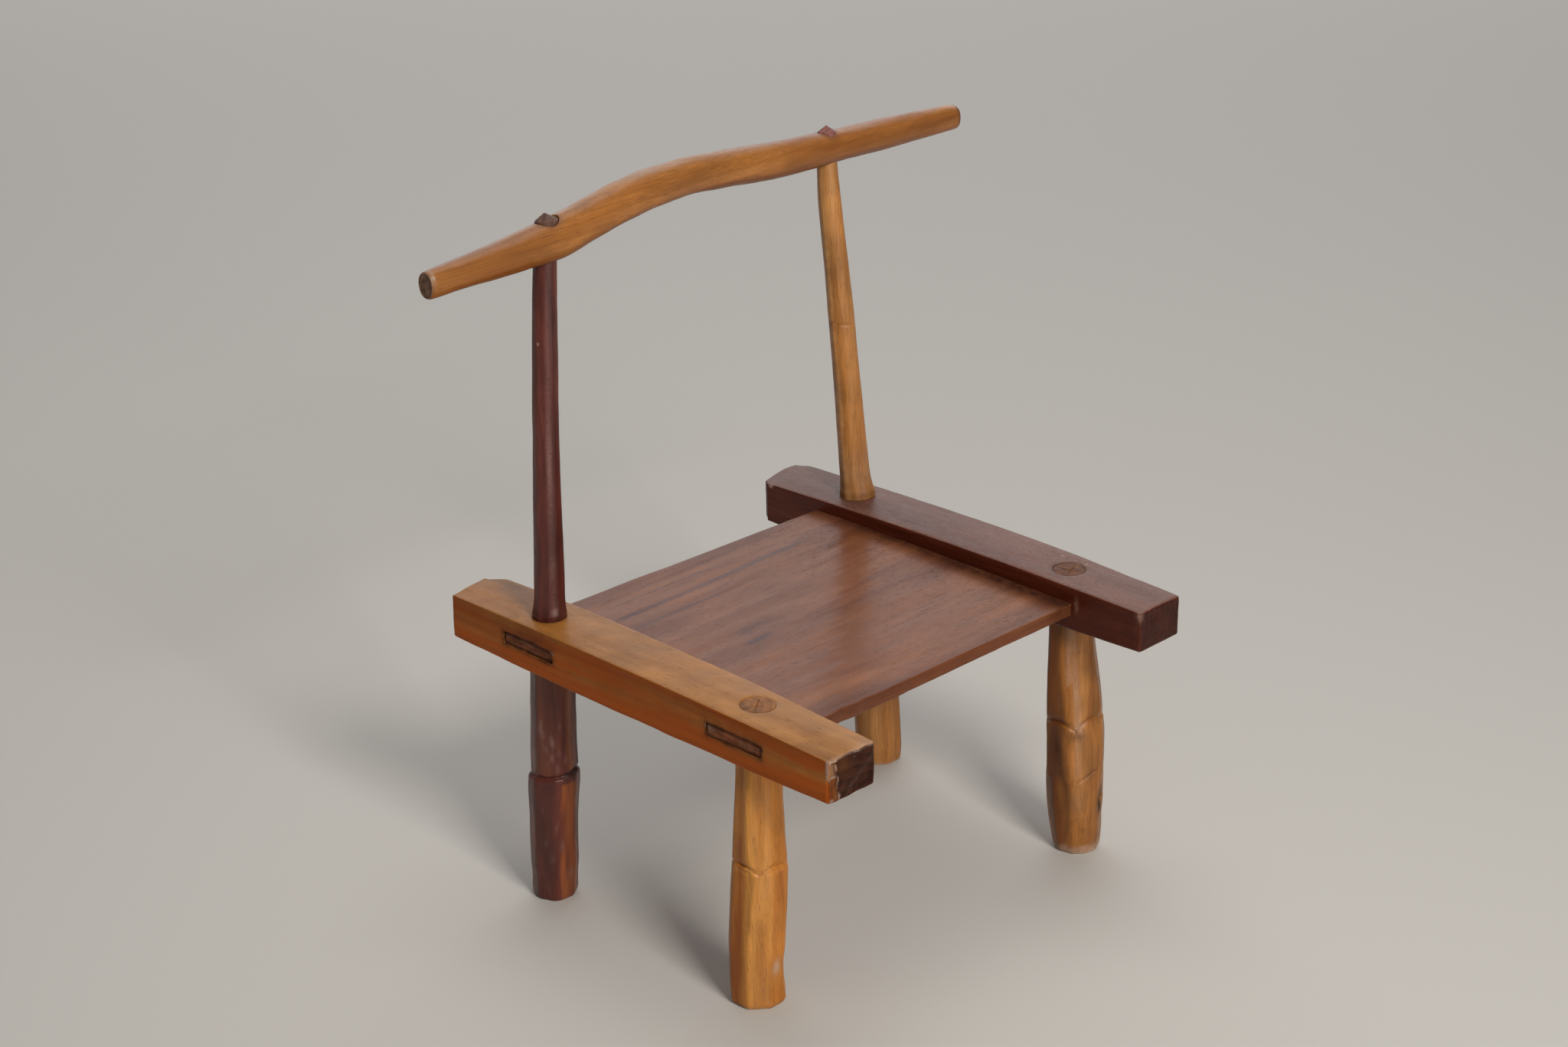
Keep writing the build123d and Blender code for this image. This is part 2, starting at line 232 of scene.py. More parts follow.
def sharp_by_angle(mesh, degrees):
    """Smooth shading, with the edges sharper than that angle kept crisp."""
    count = len(mesh.polygons)
    mesh.polygons.foreach_set("use_smooth", np.ones(count, bool))
    normals = np.empty(count * 3, np.float32)
    mesh.polygons.foreach_get("normal", normals)
    normals = normals.reshape(-1, 3)
    total = np.empty(count, np.int32)
    mesh.polygons.foreach_get("loop_total", total)
    face = np.repeat(np.arange(count), total)
    edge = np.empty(len(mesh.loops), np.int32)
    mesh.loops.foreach_get("edge_index", edge)
    order = np.argsort(edge, kind="stable")
    e, f = edge[order], face[order]
    pair = np.nonzero(e[1:] == e[:-1])[0]
    dot = np.einsum("ij,ij->i", normals[f[pair]], normals[f[pair + 1]])
    sharp = np.zeros(len(mesh.edges), bool)
    sharp[e[pair[dot < math.cos(math.radians(degrees))]]] = True
    layer = mesh.attributes.get("sharp_edge") or mesh.attributes.new("sharp_edge", "BOOLEAN", "EDGE")
    layer.data.foreach_set("value", sharp)


def relief(obj, reach):
    """How far each point stands out of (+) or lies below (-) its surroundings, in mm."""
    mesh = obj.data
    ends = np.empty(len(mesh.edges) * 2, np.int32)
    mesh.edges.foreach_get("vertices", ends)
    a, b = ends.reshape(-1, 2).T
    p, n = points_of(obj), normals_of(obj)
    length = np.linalg.norm(p[a] - p[b], axis=1)
    passes = int(np.clip((reach / np.median(length)) ** 2, 3, 60))
    weight = np.bincount(a, minlength=len(p)) + np.bincount(b, minlength=len(p))
    q = p.copy()
    for _ in range(passes):
        moved = np.empty_like(q)
        for axis in range(3):
            total = np.bincount(a, q[b, axis], len(p)) + np.bincount(b, q[a, axis], len(p))
            moved[:, axis] = 0.5 * q[:, axis] + 0.5 * total / np.maximum(weight, 1)
        q = moved
    return np.einsum("ij,ij->i", p - q, n)


def paint(obj, **fields):
    """Per-point numbers that the materials read: wear and painted light, hollows for dirt and painted shade, grain
    ends, chips, stains and painted shade, dust and painted sheen, tints and painted shade.
    """
    for name, values in fields.items():
        layer = obj.data.attributes.get(name) or obj.data.attributes.new(name, "FLOAT", "POINT")
        layer.data.foreach_set("value", np.clip(values, 0, 1).astype(np.float32))


def place(obj, node, material):
    obj.data.materials.clear()
    obj.data.materials.append(material)
    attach(obj, "root")
    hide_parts(node)
    return obj


# ==================================================================== wood
class Nodes:
    """Small helper around a material's node tree."""

    def __init__(self, name):
        self.material = bpy.data.materials.new(name)
        self.material.use_nodes = True
        self.tree = self.material.node_tree
        self.shader = self.tree.nodes["Principled BSDF"]

    def new(self, kind, **settings):
        node = self.tree.nodes.new("ShaderNode" + kind)
        for key, value in settings.items():
            setattr(node, key, value)
        return node

    def wire(self, value, socket):
        if isinstance(value, (int, float)):
            socket.default_value = value
        elif isinstance(value, tuple):
            socket.default_value = (*value, 1.0) if len(socket.default_value) == 4 and len(value) == 3 else value
        else:
            self.tree.links.new(value, socket)

    def math(self, operation, a, b=0.0, c=0.0, clamp=False):
        node = self.new("Math", operation=operation, use_clamp=clamp)
        for socket, value in zip(node.inputs, (a, b, c)):
            self.wire(value, socket)
        return node.outputs[0]

    def vector(self, operation, a, b=(0.0, 0.0, 0.0)):
        node = self.new("VectorMath", operation=operation)
        self.wire(a, node.inputs[0])
        if operation == "SCALE":
            self.wire(b, node.inputs["Scale"])
        else:
            self.wire(b, node.inputs[1])
        return node.outputs["Value"] if operation in ("LENGTH", "DOT_PRODUCT") else node.outputs[0]

    def mix(self, factor, a, b, blend="MIX"):
        node = self.new("Mix", data_type="RGBA", blend_type=blend, clamp_factor=True)
        self.wire(factor, node.inputs[0])
        self.wire(a, node.inputs[6])
        self.wire(b, node.inputs[7])
        return node.outputs[2]

    def noise(self, vector, scale, detail=2.0, roughness=0.5, distortion=0.0):
        node = self.new("TexNoise")
        self.wire(vector, node.inputs["Vector"])
        node.inputs["Scale"].default_value = scale
        node.inputs["Detail"].default_value = detail
        node.inputs["Roughness"].default_value = roughness
        node.inputs["Distortion"].default_value = distortion
        return node.outputs

    def ramp(self, value, *stops):
        node = self.new("ValToRGB")
        self.wire(value, node.inputs[0])
        elements = node.color_ramp.elements
        elements.remove(elements[1])
        for number, (place_at, colour) in enumerate(stops):
            element = elements.new(place_at) if number else elements[0]
            element.position = place_at
            element.color = (*colour, 1.0) if isinstance(colour, tuple) else (colour, colour, colour, 1.0)
        return node.outputs[0]

    def span(self, value, low, high, to_low=0.0, to_high=1.0):
        node = self.new("MapRange", clamp=True)
        self.wire(value, node.inputs[0])
        for socket, number in zip(node.inputs[1:5], (low, high, to_low, to_high)):
            socket.default_value = number
        return node.outputs[0]

    def attribute(self, name):
        node = self.new("Attribute", attribute_name=name)
        return node.outputs["Fac"]


AXES = {"X": 0, "Y": 1, "Z": 2}


def wood(
    name, along, dark, mid, light, accent, end_dark, end_light, tint_and_shade,
    pale=(0.55, 0.42, 0.33), dust_and_sheen=(0.42, 0.33, 0.25), stain_and_shade=(0.02, 0.008, 0.006), worn_and_lit=None,
    figure=55.0, ring_mm=5.0, pith=(0.03, 0.06), ring_depth=0.35, pores=0.45,
    rough=0.36, coat=0.0, coat_rough=0.2, tilt=0.05, accent_amount=0.5, bump=0.35,
    accent_scale=12.0, fibre=0.22, wave=0.004, spec=0.5, ribbon=0.0, mottle=0.3, contrast=1.0,
):
    """Varnished hardwood whose grain runs along an axis: growth bands, ring lines, fibres, pores, end grain, wear."""
    t = Nodes(name)
    axis = AXES[along]
    where = t.new("TexCoord").outputs["Object"]

    def stretched(vector, cross, length):
        scale = [cross, cross, cross]
        scale[axis] = length
        return t.vector("MULTIPLY", vector, tuple(scale))

    # the fibres wander a little along the piece
    wander = t.noise(stretched(where, 7.0, 5.0), 1.0, 1.0)["Color"]
    wander = t.vector("SCALE", t.vector("SUBTRACT", wander, (0.5, 0.5, 0.5)), wave)
    fine_wander = t.noise(stretched(where, 60.0, 22.0), 1.0, 1.0)["Color"]
    fine_wander = t.vector("SCALE", t.vector("SUBTRACT", fine_wander, (0.5, 0.5, 0.5)), wave * 0.25)
    grain = t.vector("ADD", t.vector("ADD", where, wander), fine_wander)

    # growth rings round a pith line that leans a little to the piece
    lean = t.new("Mapping")
    t.wire(grain, lean.inputs["Vector"])
    lean.inputs["Rotation"].default_value = [tilt, tilt * 0.7, tilt * 0.4]
    offset = [pith[0], pith[1], pith[0] + pith[1]]
    offset[axis] = 0.0
    lean.inputs["Location"].default_value = offset
    flat = [1.0, 1.0, 1.0]
    flat[axis] = 0.0
    radius = t.vector("LENGTH", t.vector("MULTIPLY", lean.outputs[0], tuple(flat)))
    uneven = t.noise(stretched(grain, 26.0, 3.0), 1.0, 3.0)["Fac"]
    phase = t.math("ADD", t.math("MULTIPLY", radius, 1000.0 / ring_mm), t.math("MULTIPLY", uneven, 2.6))
    saw = t.math("FRACT", phase)
    late = t.ramp(saw, (0.0, 0.25), (0.10, 0.0), (0.55, 0.15), (0.86, 0.8), (0.96, 1.0), (1.0, 0.3))

    bands = t.noise(stretched(grain, figure, figure / 22.0), 1.0, 4.0, 0.55)["Fac"]
    tone = t.math("ADD", bands, t.math("MULTIPLY", t.math("SUBTRACT", late, 0.35), -ring_depth * 0.35))
    spread = 0.13 / contrast
    colour = t.ramp(tone, (0.5 - 1.7 * spread, dark), (0.5, mid), (0.5 + 1.7 * spread, light))

    # broad drift of colour along the grain
    drift = t.noise(stretched(grain, accent_scale, accent_scale / 7.0), 1.0, 2.0, 0.5)["Fac"]
    drift = t.span(drift, 0.42, 0.72, 0.0, accent_amount)
    colour = t.mix(drift, colour, accent)

    # cloudy unevenness of the varnish and a faint cross ribbon in the figure
    clouds = t.noise(stretched(where, 34.0, 16.0), 1.0, 2.0, 0.55)["Fac"]
    colour = t.mix(1.0, colour, t.ramp(clouds, (0.30, 1.0 - mottle * 0.55), (0.70, 1.0 + mottle * 0.45)), "MULTIPLY")
    if ribbon:
        slant = [26.0, 26.0, 26.0]
        slant[axis] = 55.0
        turned = t.new("Mapping")
        t.wire(grain, turned.inputs["Vector"])
        turned.inputs["Rotation"].default_value = [0.0, 0.0, 0.6]
        bars = t.noise(t.vector("MULTIPLY", turned.outputs[0], tuple(slant)), 1.0, 2.0, 0.5)["Fac"]
        colour = t.mix(1.0, colour, t.ramp(bars, (0.35, 1.0 - ribbon), (0.65, 1.0 + ribbon)), "MULTIPLY")

    # fine fibres and short open pores
    fibres = t.noise(stretched(grain, 900.0, 26.0), 1.0, 3.0, 0.6)["Fac"]
    colour = t.mix(1.0, colour, t.ramp(fibres, (0.30, 1.0 - fibre), (0.70, 1.0 + fibre * 0.5)), "MULTIPLY")
    specks = t.noise(stretched(grain, 1250.0, 120.0), 1.0, 1.0, 0.5)["Fac"]
    pore = t.span(specks, 0.62, 0.72, 0.0, 1.0)
    colour = t.mix(t.math("MULTIPLY", pore, pores), colour, t.mix(1.0, colour, (0.30, 0.22, 0.18), "MULTIPLY"))

    # patches of another heartwood colour, along the grain; the same tint also paints shade down the shaded sides of
    # legs and under the crest
    grime = t.noise(where, 90.0, 3.0, 0.6)["Fac"]
    streaky = t.noise(stretched(grain, 130.0, 12.0), 1.0, 2.0, 0.5)["Fac"]
    patch = t.math("ADD", t.attribute("tint_and_shade"), t.math("MULTIPLY", t.math("SUBTRACT", streaky, 0.5), 0.9))
    patch = t.span(patch, 0.25, 0.80, 0.0, 0.95)
    patch = t.math("MULTIPLY", patch, t.span(t.attribute("tint_and_shade"), 0.02, 0.25))
    tinted = t.mix(1.0, tint_and_shade, t.ramp(tone, (0.30, 0.70), (0.70, 1.20)), "MULTIPLY")
    colour = t.mix(patch, colour, tinted)

    # a little dirt and painted shade in the hollows, and varnish rubbed off the edges; the same paler colour also
    # paints light on a shaded side
    dirt_and_shade = t.math("MULTIPLY", t.attribute("hollow_dirt_and_shade"), t.span(grime, 0.2, 0.6, 0.65, 1.0), clamp=True)
    colour = t.mix(dirt_and_shade, colour, t.mix(1.0, colour, (0.22, 0.14, 0.11), "MULTIPLY"))
    wear_and_light = t.math("MULTIPLY", t.attribute("wear_and_light"), t.span(grime, 0.38, 0.66, 0.15, 1.0), clamp=True)
    worn_and_lit = worn_and_lit or tuple(lerp(a, 0.75, 0.22) for a in light)
    colour = t.mix(t.math("MULTIPLY", wear_and_light, 0.45), colour, worn_and_lit)

    # end grain: soft arcs of rings, rays and open vessels
    vessels = t.noise(where, 1500.0, 2.0, 0.6)["Fac"]
    cloudy = t.noise(where, 130.0, 4.0, 0.6)["Fac"]
    end = t.math("ADD", t.math("MULTIPLY", late, 0.16), t.math("MULTIPLY", vessels, 0.45))
    end = t.math("ADD", end, t.math("MULTIPLY", cloudy, 0.65))
    end = t.ramp(end, (0.38, end_light), (0.78, end_dark))
    ends = t.attribute("endgrain")
    colour = t.mix(ends, colour, end)

    # dust and painted sheen, fine scuffs, bare chips, dark stains and painted shade
    ragged = t.noise(where, 420.0, 3.0, 0.65)["Fac"]
    haze = t.attribute("dust_and_sheen")
    haze = t.math("MULTIPLY", haze, t.span(t.math("ADD", ragged, t.math("MULTIPLY", haze, 0.3)), 0.40, 0.80, 0.25, 0.9))
    colour = t.mix(haze, colour, dust_and_sheen)
    chip = t.span(t.math("SUBTRACT", t.attribute("chip"), t.math("MULTIPLY", ragged, 0.7)), -0.05, 0.2)
    bare = t.mix(t.span(fibres, 0.3, 0.7), pale, tuple(c * 0.72 for c in pale))
    colour = t.mix(chip, colour, bare)
    stain_and_shade_mix = t.math("MULTIPLY", t.attribute("stain_and_shade"), t.span(cloudy, 0.2, 0.6, 0.6, 1.0), clamp=True)
    colour = t.mix(stain_and_shade_mix, colour, stain_and_shade)
    t.wire(colour, t.shader.inputs["Base Color"])

    gloss = t.math("ADD", t.math("MULTIPLY", fibres, 0.10), t.math("MULTIPLY", grime, 0.14))
    gloss = t.math("ADD", gloss, rough - 0.12)
    dull = t.math("MAXIMUM", t.math("MAXIMUM", chip, ends), t.math("MAXIMUM", haze, stain_and_shade_mix))
    gloss = t.math("ADD", gloss, t.math("MULTIPLY", dull, 0.28), clamp=True)
    gloss = t.math("ADD", gloss, t.math("MULTIPLY", pore, 0.15), clamp=True)
    t.wire(gloss, t.shader.inputs["Roughness"])
    t.shader.inputs["IOR"].default_value = 1.5
    t.shader.inputs["Specular IOR Level"].default_value = spec
    if coat:
        t.wire(t.math("MULTIPLY", t.math("SUBTRACT", 1.0, dull, clamp=True), coat), t.shader.inputs["Coat Weight"])
        t.shader.inputs["Coat Roughness"].default_value = coat_rough

    height = t.math("ADD", t.math("MULTIPLY", fibres, 0.35), t.math("MULTIPLY", pore, -0.55))
    height = t.math("ADD", height, t.math("MULTIPLY", late, -0.12))
    height = t.math("ADD", height, t.math("MULTIPLY", t.math("MULTIPLY", vessels, ends), 0.8))
    height = t.math("ADD", height, t.math("MULTIPLY", t.math("MULTIPLY", ragged, t.math("MAXIMUM", chip, haze)), 0.9))
    height = t.math("ADD", height, t.math("MULTIPLY", t.noise(stretched(where, 160.0, 40.0), 1.0, 2.0)["Fac"], 0.5))
    node = t.new("Bump")
    node.inputs["Strength"].default_value = bump
    node.inputs["Distance"].default_value = 0.0004
    t.wire(height, node.inputs["Height"])
    t.wire(node.outputs[0], t.shader.inputs["Normal"])
    return t.material


# ============================================================ sizes, in mm
L_LOW = [(-223.75, -219.64), (-3.05, -215.41), (218.4, -212.68)]
L_HIGH = [(-223.75, -170.84), (-3.05, -160.01), (205.2, -159.4)]
L_TOP = [(-223.75, 261.2), (-3.05, 263.55), (225.4, 262.5)]
L_BOT = [(-223.75, 225.0), (-3.05, 221.75), (225.4, 224.7)]
R_LOW = [(-225.45, 140.48), (-7.4, 141.6), (204.5, 137.6)]
R_HIGH = [(-225.45, 190.43), (-7.4, 198.9), (199.0, 194.3)]
R_TOP = [(-225.45, 262.3), (-7.4, 263.9), (215.5, 261.1)]
R_BOT = [(-225.45, 227.3), (-7.4, 221.45), (215.5, 225.0)]
SEAT_Z, SEAT_T = 249.15, 11.2
SEAT_RISE = math.tan(math.radians(0.847))
L_TENONS = [(-149.6, -89.0), (92.6, 151.4)]
R_TENONS = [(-144.2, -84.0), (80.0, 138.9)]
SHOULDER = 223.0

# sticks: (z, x, y, half width)
LEG_LF = [
    (0, -185.7, -107.3, 19.6), (2, -185.8, -107.3, 21.0), (5, -185.9, -107.3, 21.9), (17, -186.8, -107.1, 21.6),
    (37, -187.2, -107.5, 21.6), (50, -187.0, -108.0, 22.3), (67, -186.9, -109.1, 22.3),
    (86, -186.4, -110.5, 22.6), (106, -186.1, -111.6, 22.4), (118, -185.9, -112.3, 22.2),
    (126.5, -186.1, -112.8, 21.7), (144, -186.5, -113.1, 20.7), (163, -186.8, -113.6, 19.9),
    (183, -187.1, -114.2, 18.9), (201, -187.1, -115.0, 18.5), (SHOULDER, -187.3, -115.6, 18.0),
]
LEG_RF = [
    (0, 181.9, -128.3, 17.4), (2, 181.6, -128.1, 19.2), (5, 181.3, -127.9, 20.2), (19, 180.4, -127.5, 22.0),
    (32, 179.5, -127.2, 23.0), (50, 178.7, -127.2, 24.4), (72, 178.0, -127.5, 24.6),
    (93, 177.5, -128.1, 24.8), (112, 176.9, -128.4, 24.7), (119, 176.4, -128.3, 24.5),
    (128.5, 175.6, -128.3, 23.9), (144, 174.8, -128.0, 23.4), (154, 174.2, -127.8, 22.8),
    (175, 172.9, -127.5, 21.5), (195, 171.7, -127.2, 20.0), (SHOULDER, 170.3, -127.1, 18.6),
]
LEG_LR = [
    (0, -180.8, 141.2, 17.2), (2, -180.8, 141.1, 18.4), (5, -180.9, 141.0, 19.0), (21, -181.3, 139.9, 19.3),
    (32, -181.6, 139.2, 20.1), (53, -182.2, 138.0, 20.1), (74, -182.7, 136.4, 20.2),
    (94, -183.0, 134.9, 20.9), (107, -182.9, 133.8, 21.5), (115, -182.8, 133.3, 21.3),
    (121.5, -182.8, 132.3, 19.8), (146, -183.7, 130.9, 19.4), (166, -184.0, 129.3, 19.1),
    (187, -184.6, 127.9, 18.7), (207, -185.0, 126.5, 18.6), (SHOULDER, -185.6, 125.6, 18.2),
]
LEG_RR = [
    (0, 189.7, 114.6, 18.6), (2, 189.6, 114.6, 19.6), (5, 189.5, 114.5, 20.0), (21, 189.0, 114.2, 20.7),
    (35, 188.3, 114.2, 20.6), (55, 187.2, 114.4, 20.8), (80, 185.6, 114.9, 21.4),
    (104, 183.9, 115.5, 22.0), (115, 183.1, 115.8, 21.8), (124, 182.3, 116.1, 21.2),
    (150, 180.1, 116.9, 20.6), (175, 177.9, 117.8, 20.0), (200, 175.5, 118.7, 19.4),
    (SHOULDER, 173.6, 119.4, 18.8),
]
TENON_LF = [(SHOULDER, -187.7, -116.2, 13.8), (262.7, -188.0, -116.55, 13.8)]
TENON_RF = [(SHOULDER, 169.6, -125.8, 13.6), (263.2, 169.0, -125.05, 13.6)]
TENON_LR = [(SHOULDER, -186.6, 125.2, 13.9), (263.2, -187.3, 124.1, 13.9)]
TENON_RR = [(SHOULDER, 173.0, 119.6, 15.3), (263.0, 171.2, 120.1, 15.3)]
POST_L = [
    (263.2, -187.3, 124.1, 13.9), (268, -187.3, 123.9, 13.6), (283, -186.9, 123.2, 12.6),
    (300, -186.8, 122.7, 12.5), (334, -186.6, 121.7, 11.9), (367, -186.4, 120.8, 11.5),
    (400, -186.3, 119.9, 10.9), (433, -185.9, 118.8, 10.5), (466, -185.4, 117.6, 10.4),
    (498, -185.0, 116.5, 10.2), (530, -184.4, 115.2, 9.8), (561, -183.6, 113.7, 9.5),
    (600.5, -182.1, 111.2, 9.3), (605.2, -181.9, 110.9, 9.2),
]
POST_R = [
    (263.0, 171.2, 120.1, 15.3), (268, 170.8, 120.2, 14.8), (283, 168.8, 120.9, 13.4),
    (317, 165.7, 121.4, 12.6), (351, 162.9, 121.6, 12.0), (384, 159.8, 121.9, 11.5),
    (417, 156.8, 122.4, 11.3), (434, 155.3, 122.6, 11.3), (450, 153.8, 122.8, 11.0),
    (482, 150.6, 123.4, 10.4), (514, 147.4, 124.1, 10.0), (546, 144.3, 124.7, 9.5),
    (560, 143.2, 124.8, 8.9), (598.5, 140.8, 124.3, 8.2), (603.2, 140.7, 124.2, 8.1),
]
CREST_Y0, CREST_SLOPE = 118.4, 0.041
CREST = [
    (-306.2, 579.4, 9.0, 7.0), (-303.0, 579.6, 10.6, 8.5), (-280, 580.4, 11.3, 9.8),
    (-249, 580.9, 12.8, 11.2), (-217, 581.7, 14.5, 12.6), (-184.5, 583.4, 16.6, 13.6),
    (-168, 584.9, 17.4, 14.0), (-134, 590.4, 16.8, 14.0), (-100, 595.6, 16.5, 13.7),
    (-66, 598.9, 15.9, 13.3), (-31, 599.0, 15.1, 13.0), (5, 595.9, 15.1, 13.0),
    (41, 592.0, 15.5, 13.0), (78, 588.3, 15.3, 13.0), (115.6, 585.7, 14.5, 12.8),
    (154, 583.5, 13.6, 12.6), (193, 581.0, 13.4, 12.0), (233, 578.7, 12.5, 11.0),
    (274, 576.6, 11.5, 9.8), (302.5, 574.6, 10.8, 8.8), (306.8, 573.6, 8.2, 6.6),
]


# ================================================================== sticks
def facet_radius(theta, z, facets, p=30.0):
    """Radius over (z, theta) of a whittled stick. facets: (degrees, factor low, factor middle, factor high) for u from 0 to 1."""
    total = 0.0
    for degrees, lo, mid, hi in facets:
        f = lo * (1 - z) * (1 - 2 * z) + 4 * mid * z * (1 - z) + hi * z * (2 * z - 1)
        c = np.cos(theta[None, :] - np.radians(degrees))
        total = total + np.where(c > 0.02, np.maximum(c, 0.02) / f[:, None], 0.0) ** p
    return total ** (-1.0 / p)


def ring_fit(x, y, r, theta, half, across):
    """Scales and centres each ring so that its width across a direction is twice half."""
    rx, ry = r * np.cos(theta), r * np.sin(theta)
    side = rx * across[0] + ry * across[1]
    high, low = side.max(1), -side.min(1)
    k = 2 * half / (high + low)
    shift = (low - high) / 2 * k
    return (
        x[:, None] + rx * k[:, None] + (shift * across[0])[:, None],
        y[:, None] + ry * k[:, None] + (shift * across[1])[:, None],
    )


ACROSS = np.array([0.709, -0.705])


def cap(ring, height, steps, inward=True):
    """Rings from an edge ring to the middle, on the surface z = height(x, y)."""
    centre = ring[:, :2].mean(0)
    s = np.linspace(1, 0.03, steps + 1)[1:]
    xy = centre[None, None] + (ring[None, :, :2] - centre) * s[:, None, None]
    z = height(xy[..., 0], xy[..., 1])
    rows = np.concatenate([xy, z[..., None]], -1)
    return rows if inward else rows[::-1]


def spaced(z0, z1, step, fine=()):
    """Levels from z0 to z1, closer together near the (level, reach, step) entries."""
    z, out = z0, [z0]
    while z < z1 - 1e-6:
        h = step
        for level, reach, small in fine:
            if abs(z - level) < reach:
                h = min(h, small)
        z = min(z + h, z1)
        out.append(z)
    return np.array(out)


def leg_rows(table, sets, notches, tenon, blends, count, seed, step=0.9):
    theta = np.linspace(0, 2 * np.pi, count, endpoint=False)
    at = curve(table)
    fine = [(n["z"], 9.0, 0.5) for n in notches] + [(0.0, 6.0, 0.5)]
    z = spaced(0.0, SHOULDER, step, fine)
    cx, cy, half = at(z)
    r = np.zeros((len(z), count))
    # sections between the nodes, each with its own facets, joined at the notch
    for n, (z0, z1, facets) in enumerate(sets):
        u = np.clip((z - z0) / (z1 - z0), 0, 1)
        radius = facet_radius(theta, u, facets)
        weight = np.ones_like(z)
        if n > 0:
            weight = weight * smooth((z - z0 + blends[n - 1]) / (2 * blends[n - 1]))
        if n < len(sets) - 1:
            weight = weight * (1 - smooth((z - z1 + blends[n]) / (2 * blends[n])))
        r += radius * weight[:, None]
    x, y = ring_fit(cx, cy, r, theta, half, ACROSS)
    zz = np.broadcast_to(z[:, None], x.shape).copy()
    p = np.stack([x, y, zz], -1)
    out = np.stack([np.cos(theta), np.sin(theta), np.zeros(count)], -1)[None]
    # knife work: long shallow scoops and short flats
    d = 0.34 * noise(p, (10, 10, 36), seed) + 0.17 * noise(p, (5, 5, 13), seed + 1) + 0.05 * noise(p, (1.8, 1.8, 5), seed + 2)
    for n in notches:
        deg = (np.degrees(theta) - n["at"] + 180) % 360 - 180
        level = n["z"] + n.get("tilt", 0.0) * np.sin(np.radians(deg))
        for corner in n.get("corners", ()):
            gap = (deg - corner + 180) % 360 - 180
            level = level - n.get("dip", 0.0) * np.maximum(0, 1 - np.abs(gap) / n.get("dip_width", 26.0)) ** 1.3
        depth = n["depth"]
        if "window" in n:
            lo, hi = n["window"]
            depth = depth * smooth((deg - lo) / 8) * smooth((hi - deg) / 8)
        else:
            depth = depth * np.ones_like(deg)
        if "side_depth" in n:
            side = np.abs(np.sin(np.radians(deg)))
            depth = lerp(depth, n["side_depth"], smooth((side - 0.75) / 0.2))
        v = (zz - level[None, :]) / n["width"]
        v = v + 0.15 * noise(p, (5, 5, 3), seed + 5)
        upper, lower = n.get("upper", 1.0), n.get("lower", 1.0)
        v = np.where(v > 0, v / upper, v / lower)
        d -= depth[None, :] * np.maximum(0, 1 - np.abs(v)) ** 1.25
    p = p + out * d[..., None]
    p[..., 2] = zz
    rows = [p]
    # underside, from the middle to the first ring
    first = p[0]
    under = cap(first, lambda a, b: np.zeros_like(a), 9, inward=False)
    rows.insert(0, under)
    # shoulder and round tenon, unseen inside the rail
    t_at = curve(tenon)
    tz = spaced(SHOULDER, tenon[-1][0] - 5.0, 3.0)
    tx, ty, tr = t_at(tz)
    ring0 = p[-1]
    target = np.stack([tx[0] + tr[0] * np.cos(theta), ty[0] + tr[0] * np.sin(theta), np.full(count, SHOULDER)], -1)
    for k in np.linspace(0, 1, 5)[1:-1]:
        rows.append(lerp(ring0, target, k)[None])
    rows.append(np.stack([
        tx[:, None] + tr[:, None] * np.cos(theta), ty[:, None] + tr[:, None] * np.sin(theta),
        np.broadcast_to(tz[:, None], (len(tz), count)),
    ], -1))
    return rows, theta


def round_run(table, theta, z, facets, p_norm, seed, amount=1.0):
    cx, cy, half = curve(table)(z)
    u = (z - z[0]) / (z[-1] - z[0])
    r = facet_radius(theta, u, facets, p_norm)
    x, y = ring_fit(cx, cy, r, theta, half, ACROSS)
    zz = np.broadcast_to(z[:, None], x.shape).copy()
    p = np.stack([x, y, zz], -1)
    out = np.stack([np.cos(theta), np.sin(theta), np.zeros(len(theta))], -1)[None]
    d = amount * (0.28 * noise(p, (9, 9, 45), seed) + 0.13 * noise(p, (4, 4, 17), seed + 1) + 0.045 * noise(p, (1.8, 1.8, 6), seed + 2))
    return p, out, d


def octagon(turn, spread, seed, lo=1.0, mid=1.0, hi=1.0):
    """Eight facets with a little disorder."""
    made = []
    for k in range(8):
        wob = [_rand(np.int64(k), np.int64(n), np.int64(3), seed) * 2 - 1 for n in range(4)]
        made.append((turn + 45 * k + 5 * wob[0], lo + spread * wob[1], mid + spread * wob[2], hi + spread * wob[3]))
    return made


def from_view(view, facets):
    """Facets given by their bearing from the viewing side, as bearings round +Z."""
    return [(view + f[0], *f[1:]) for f in facets]


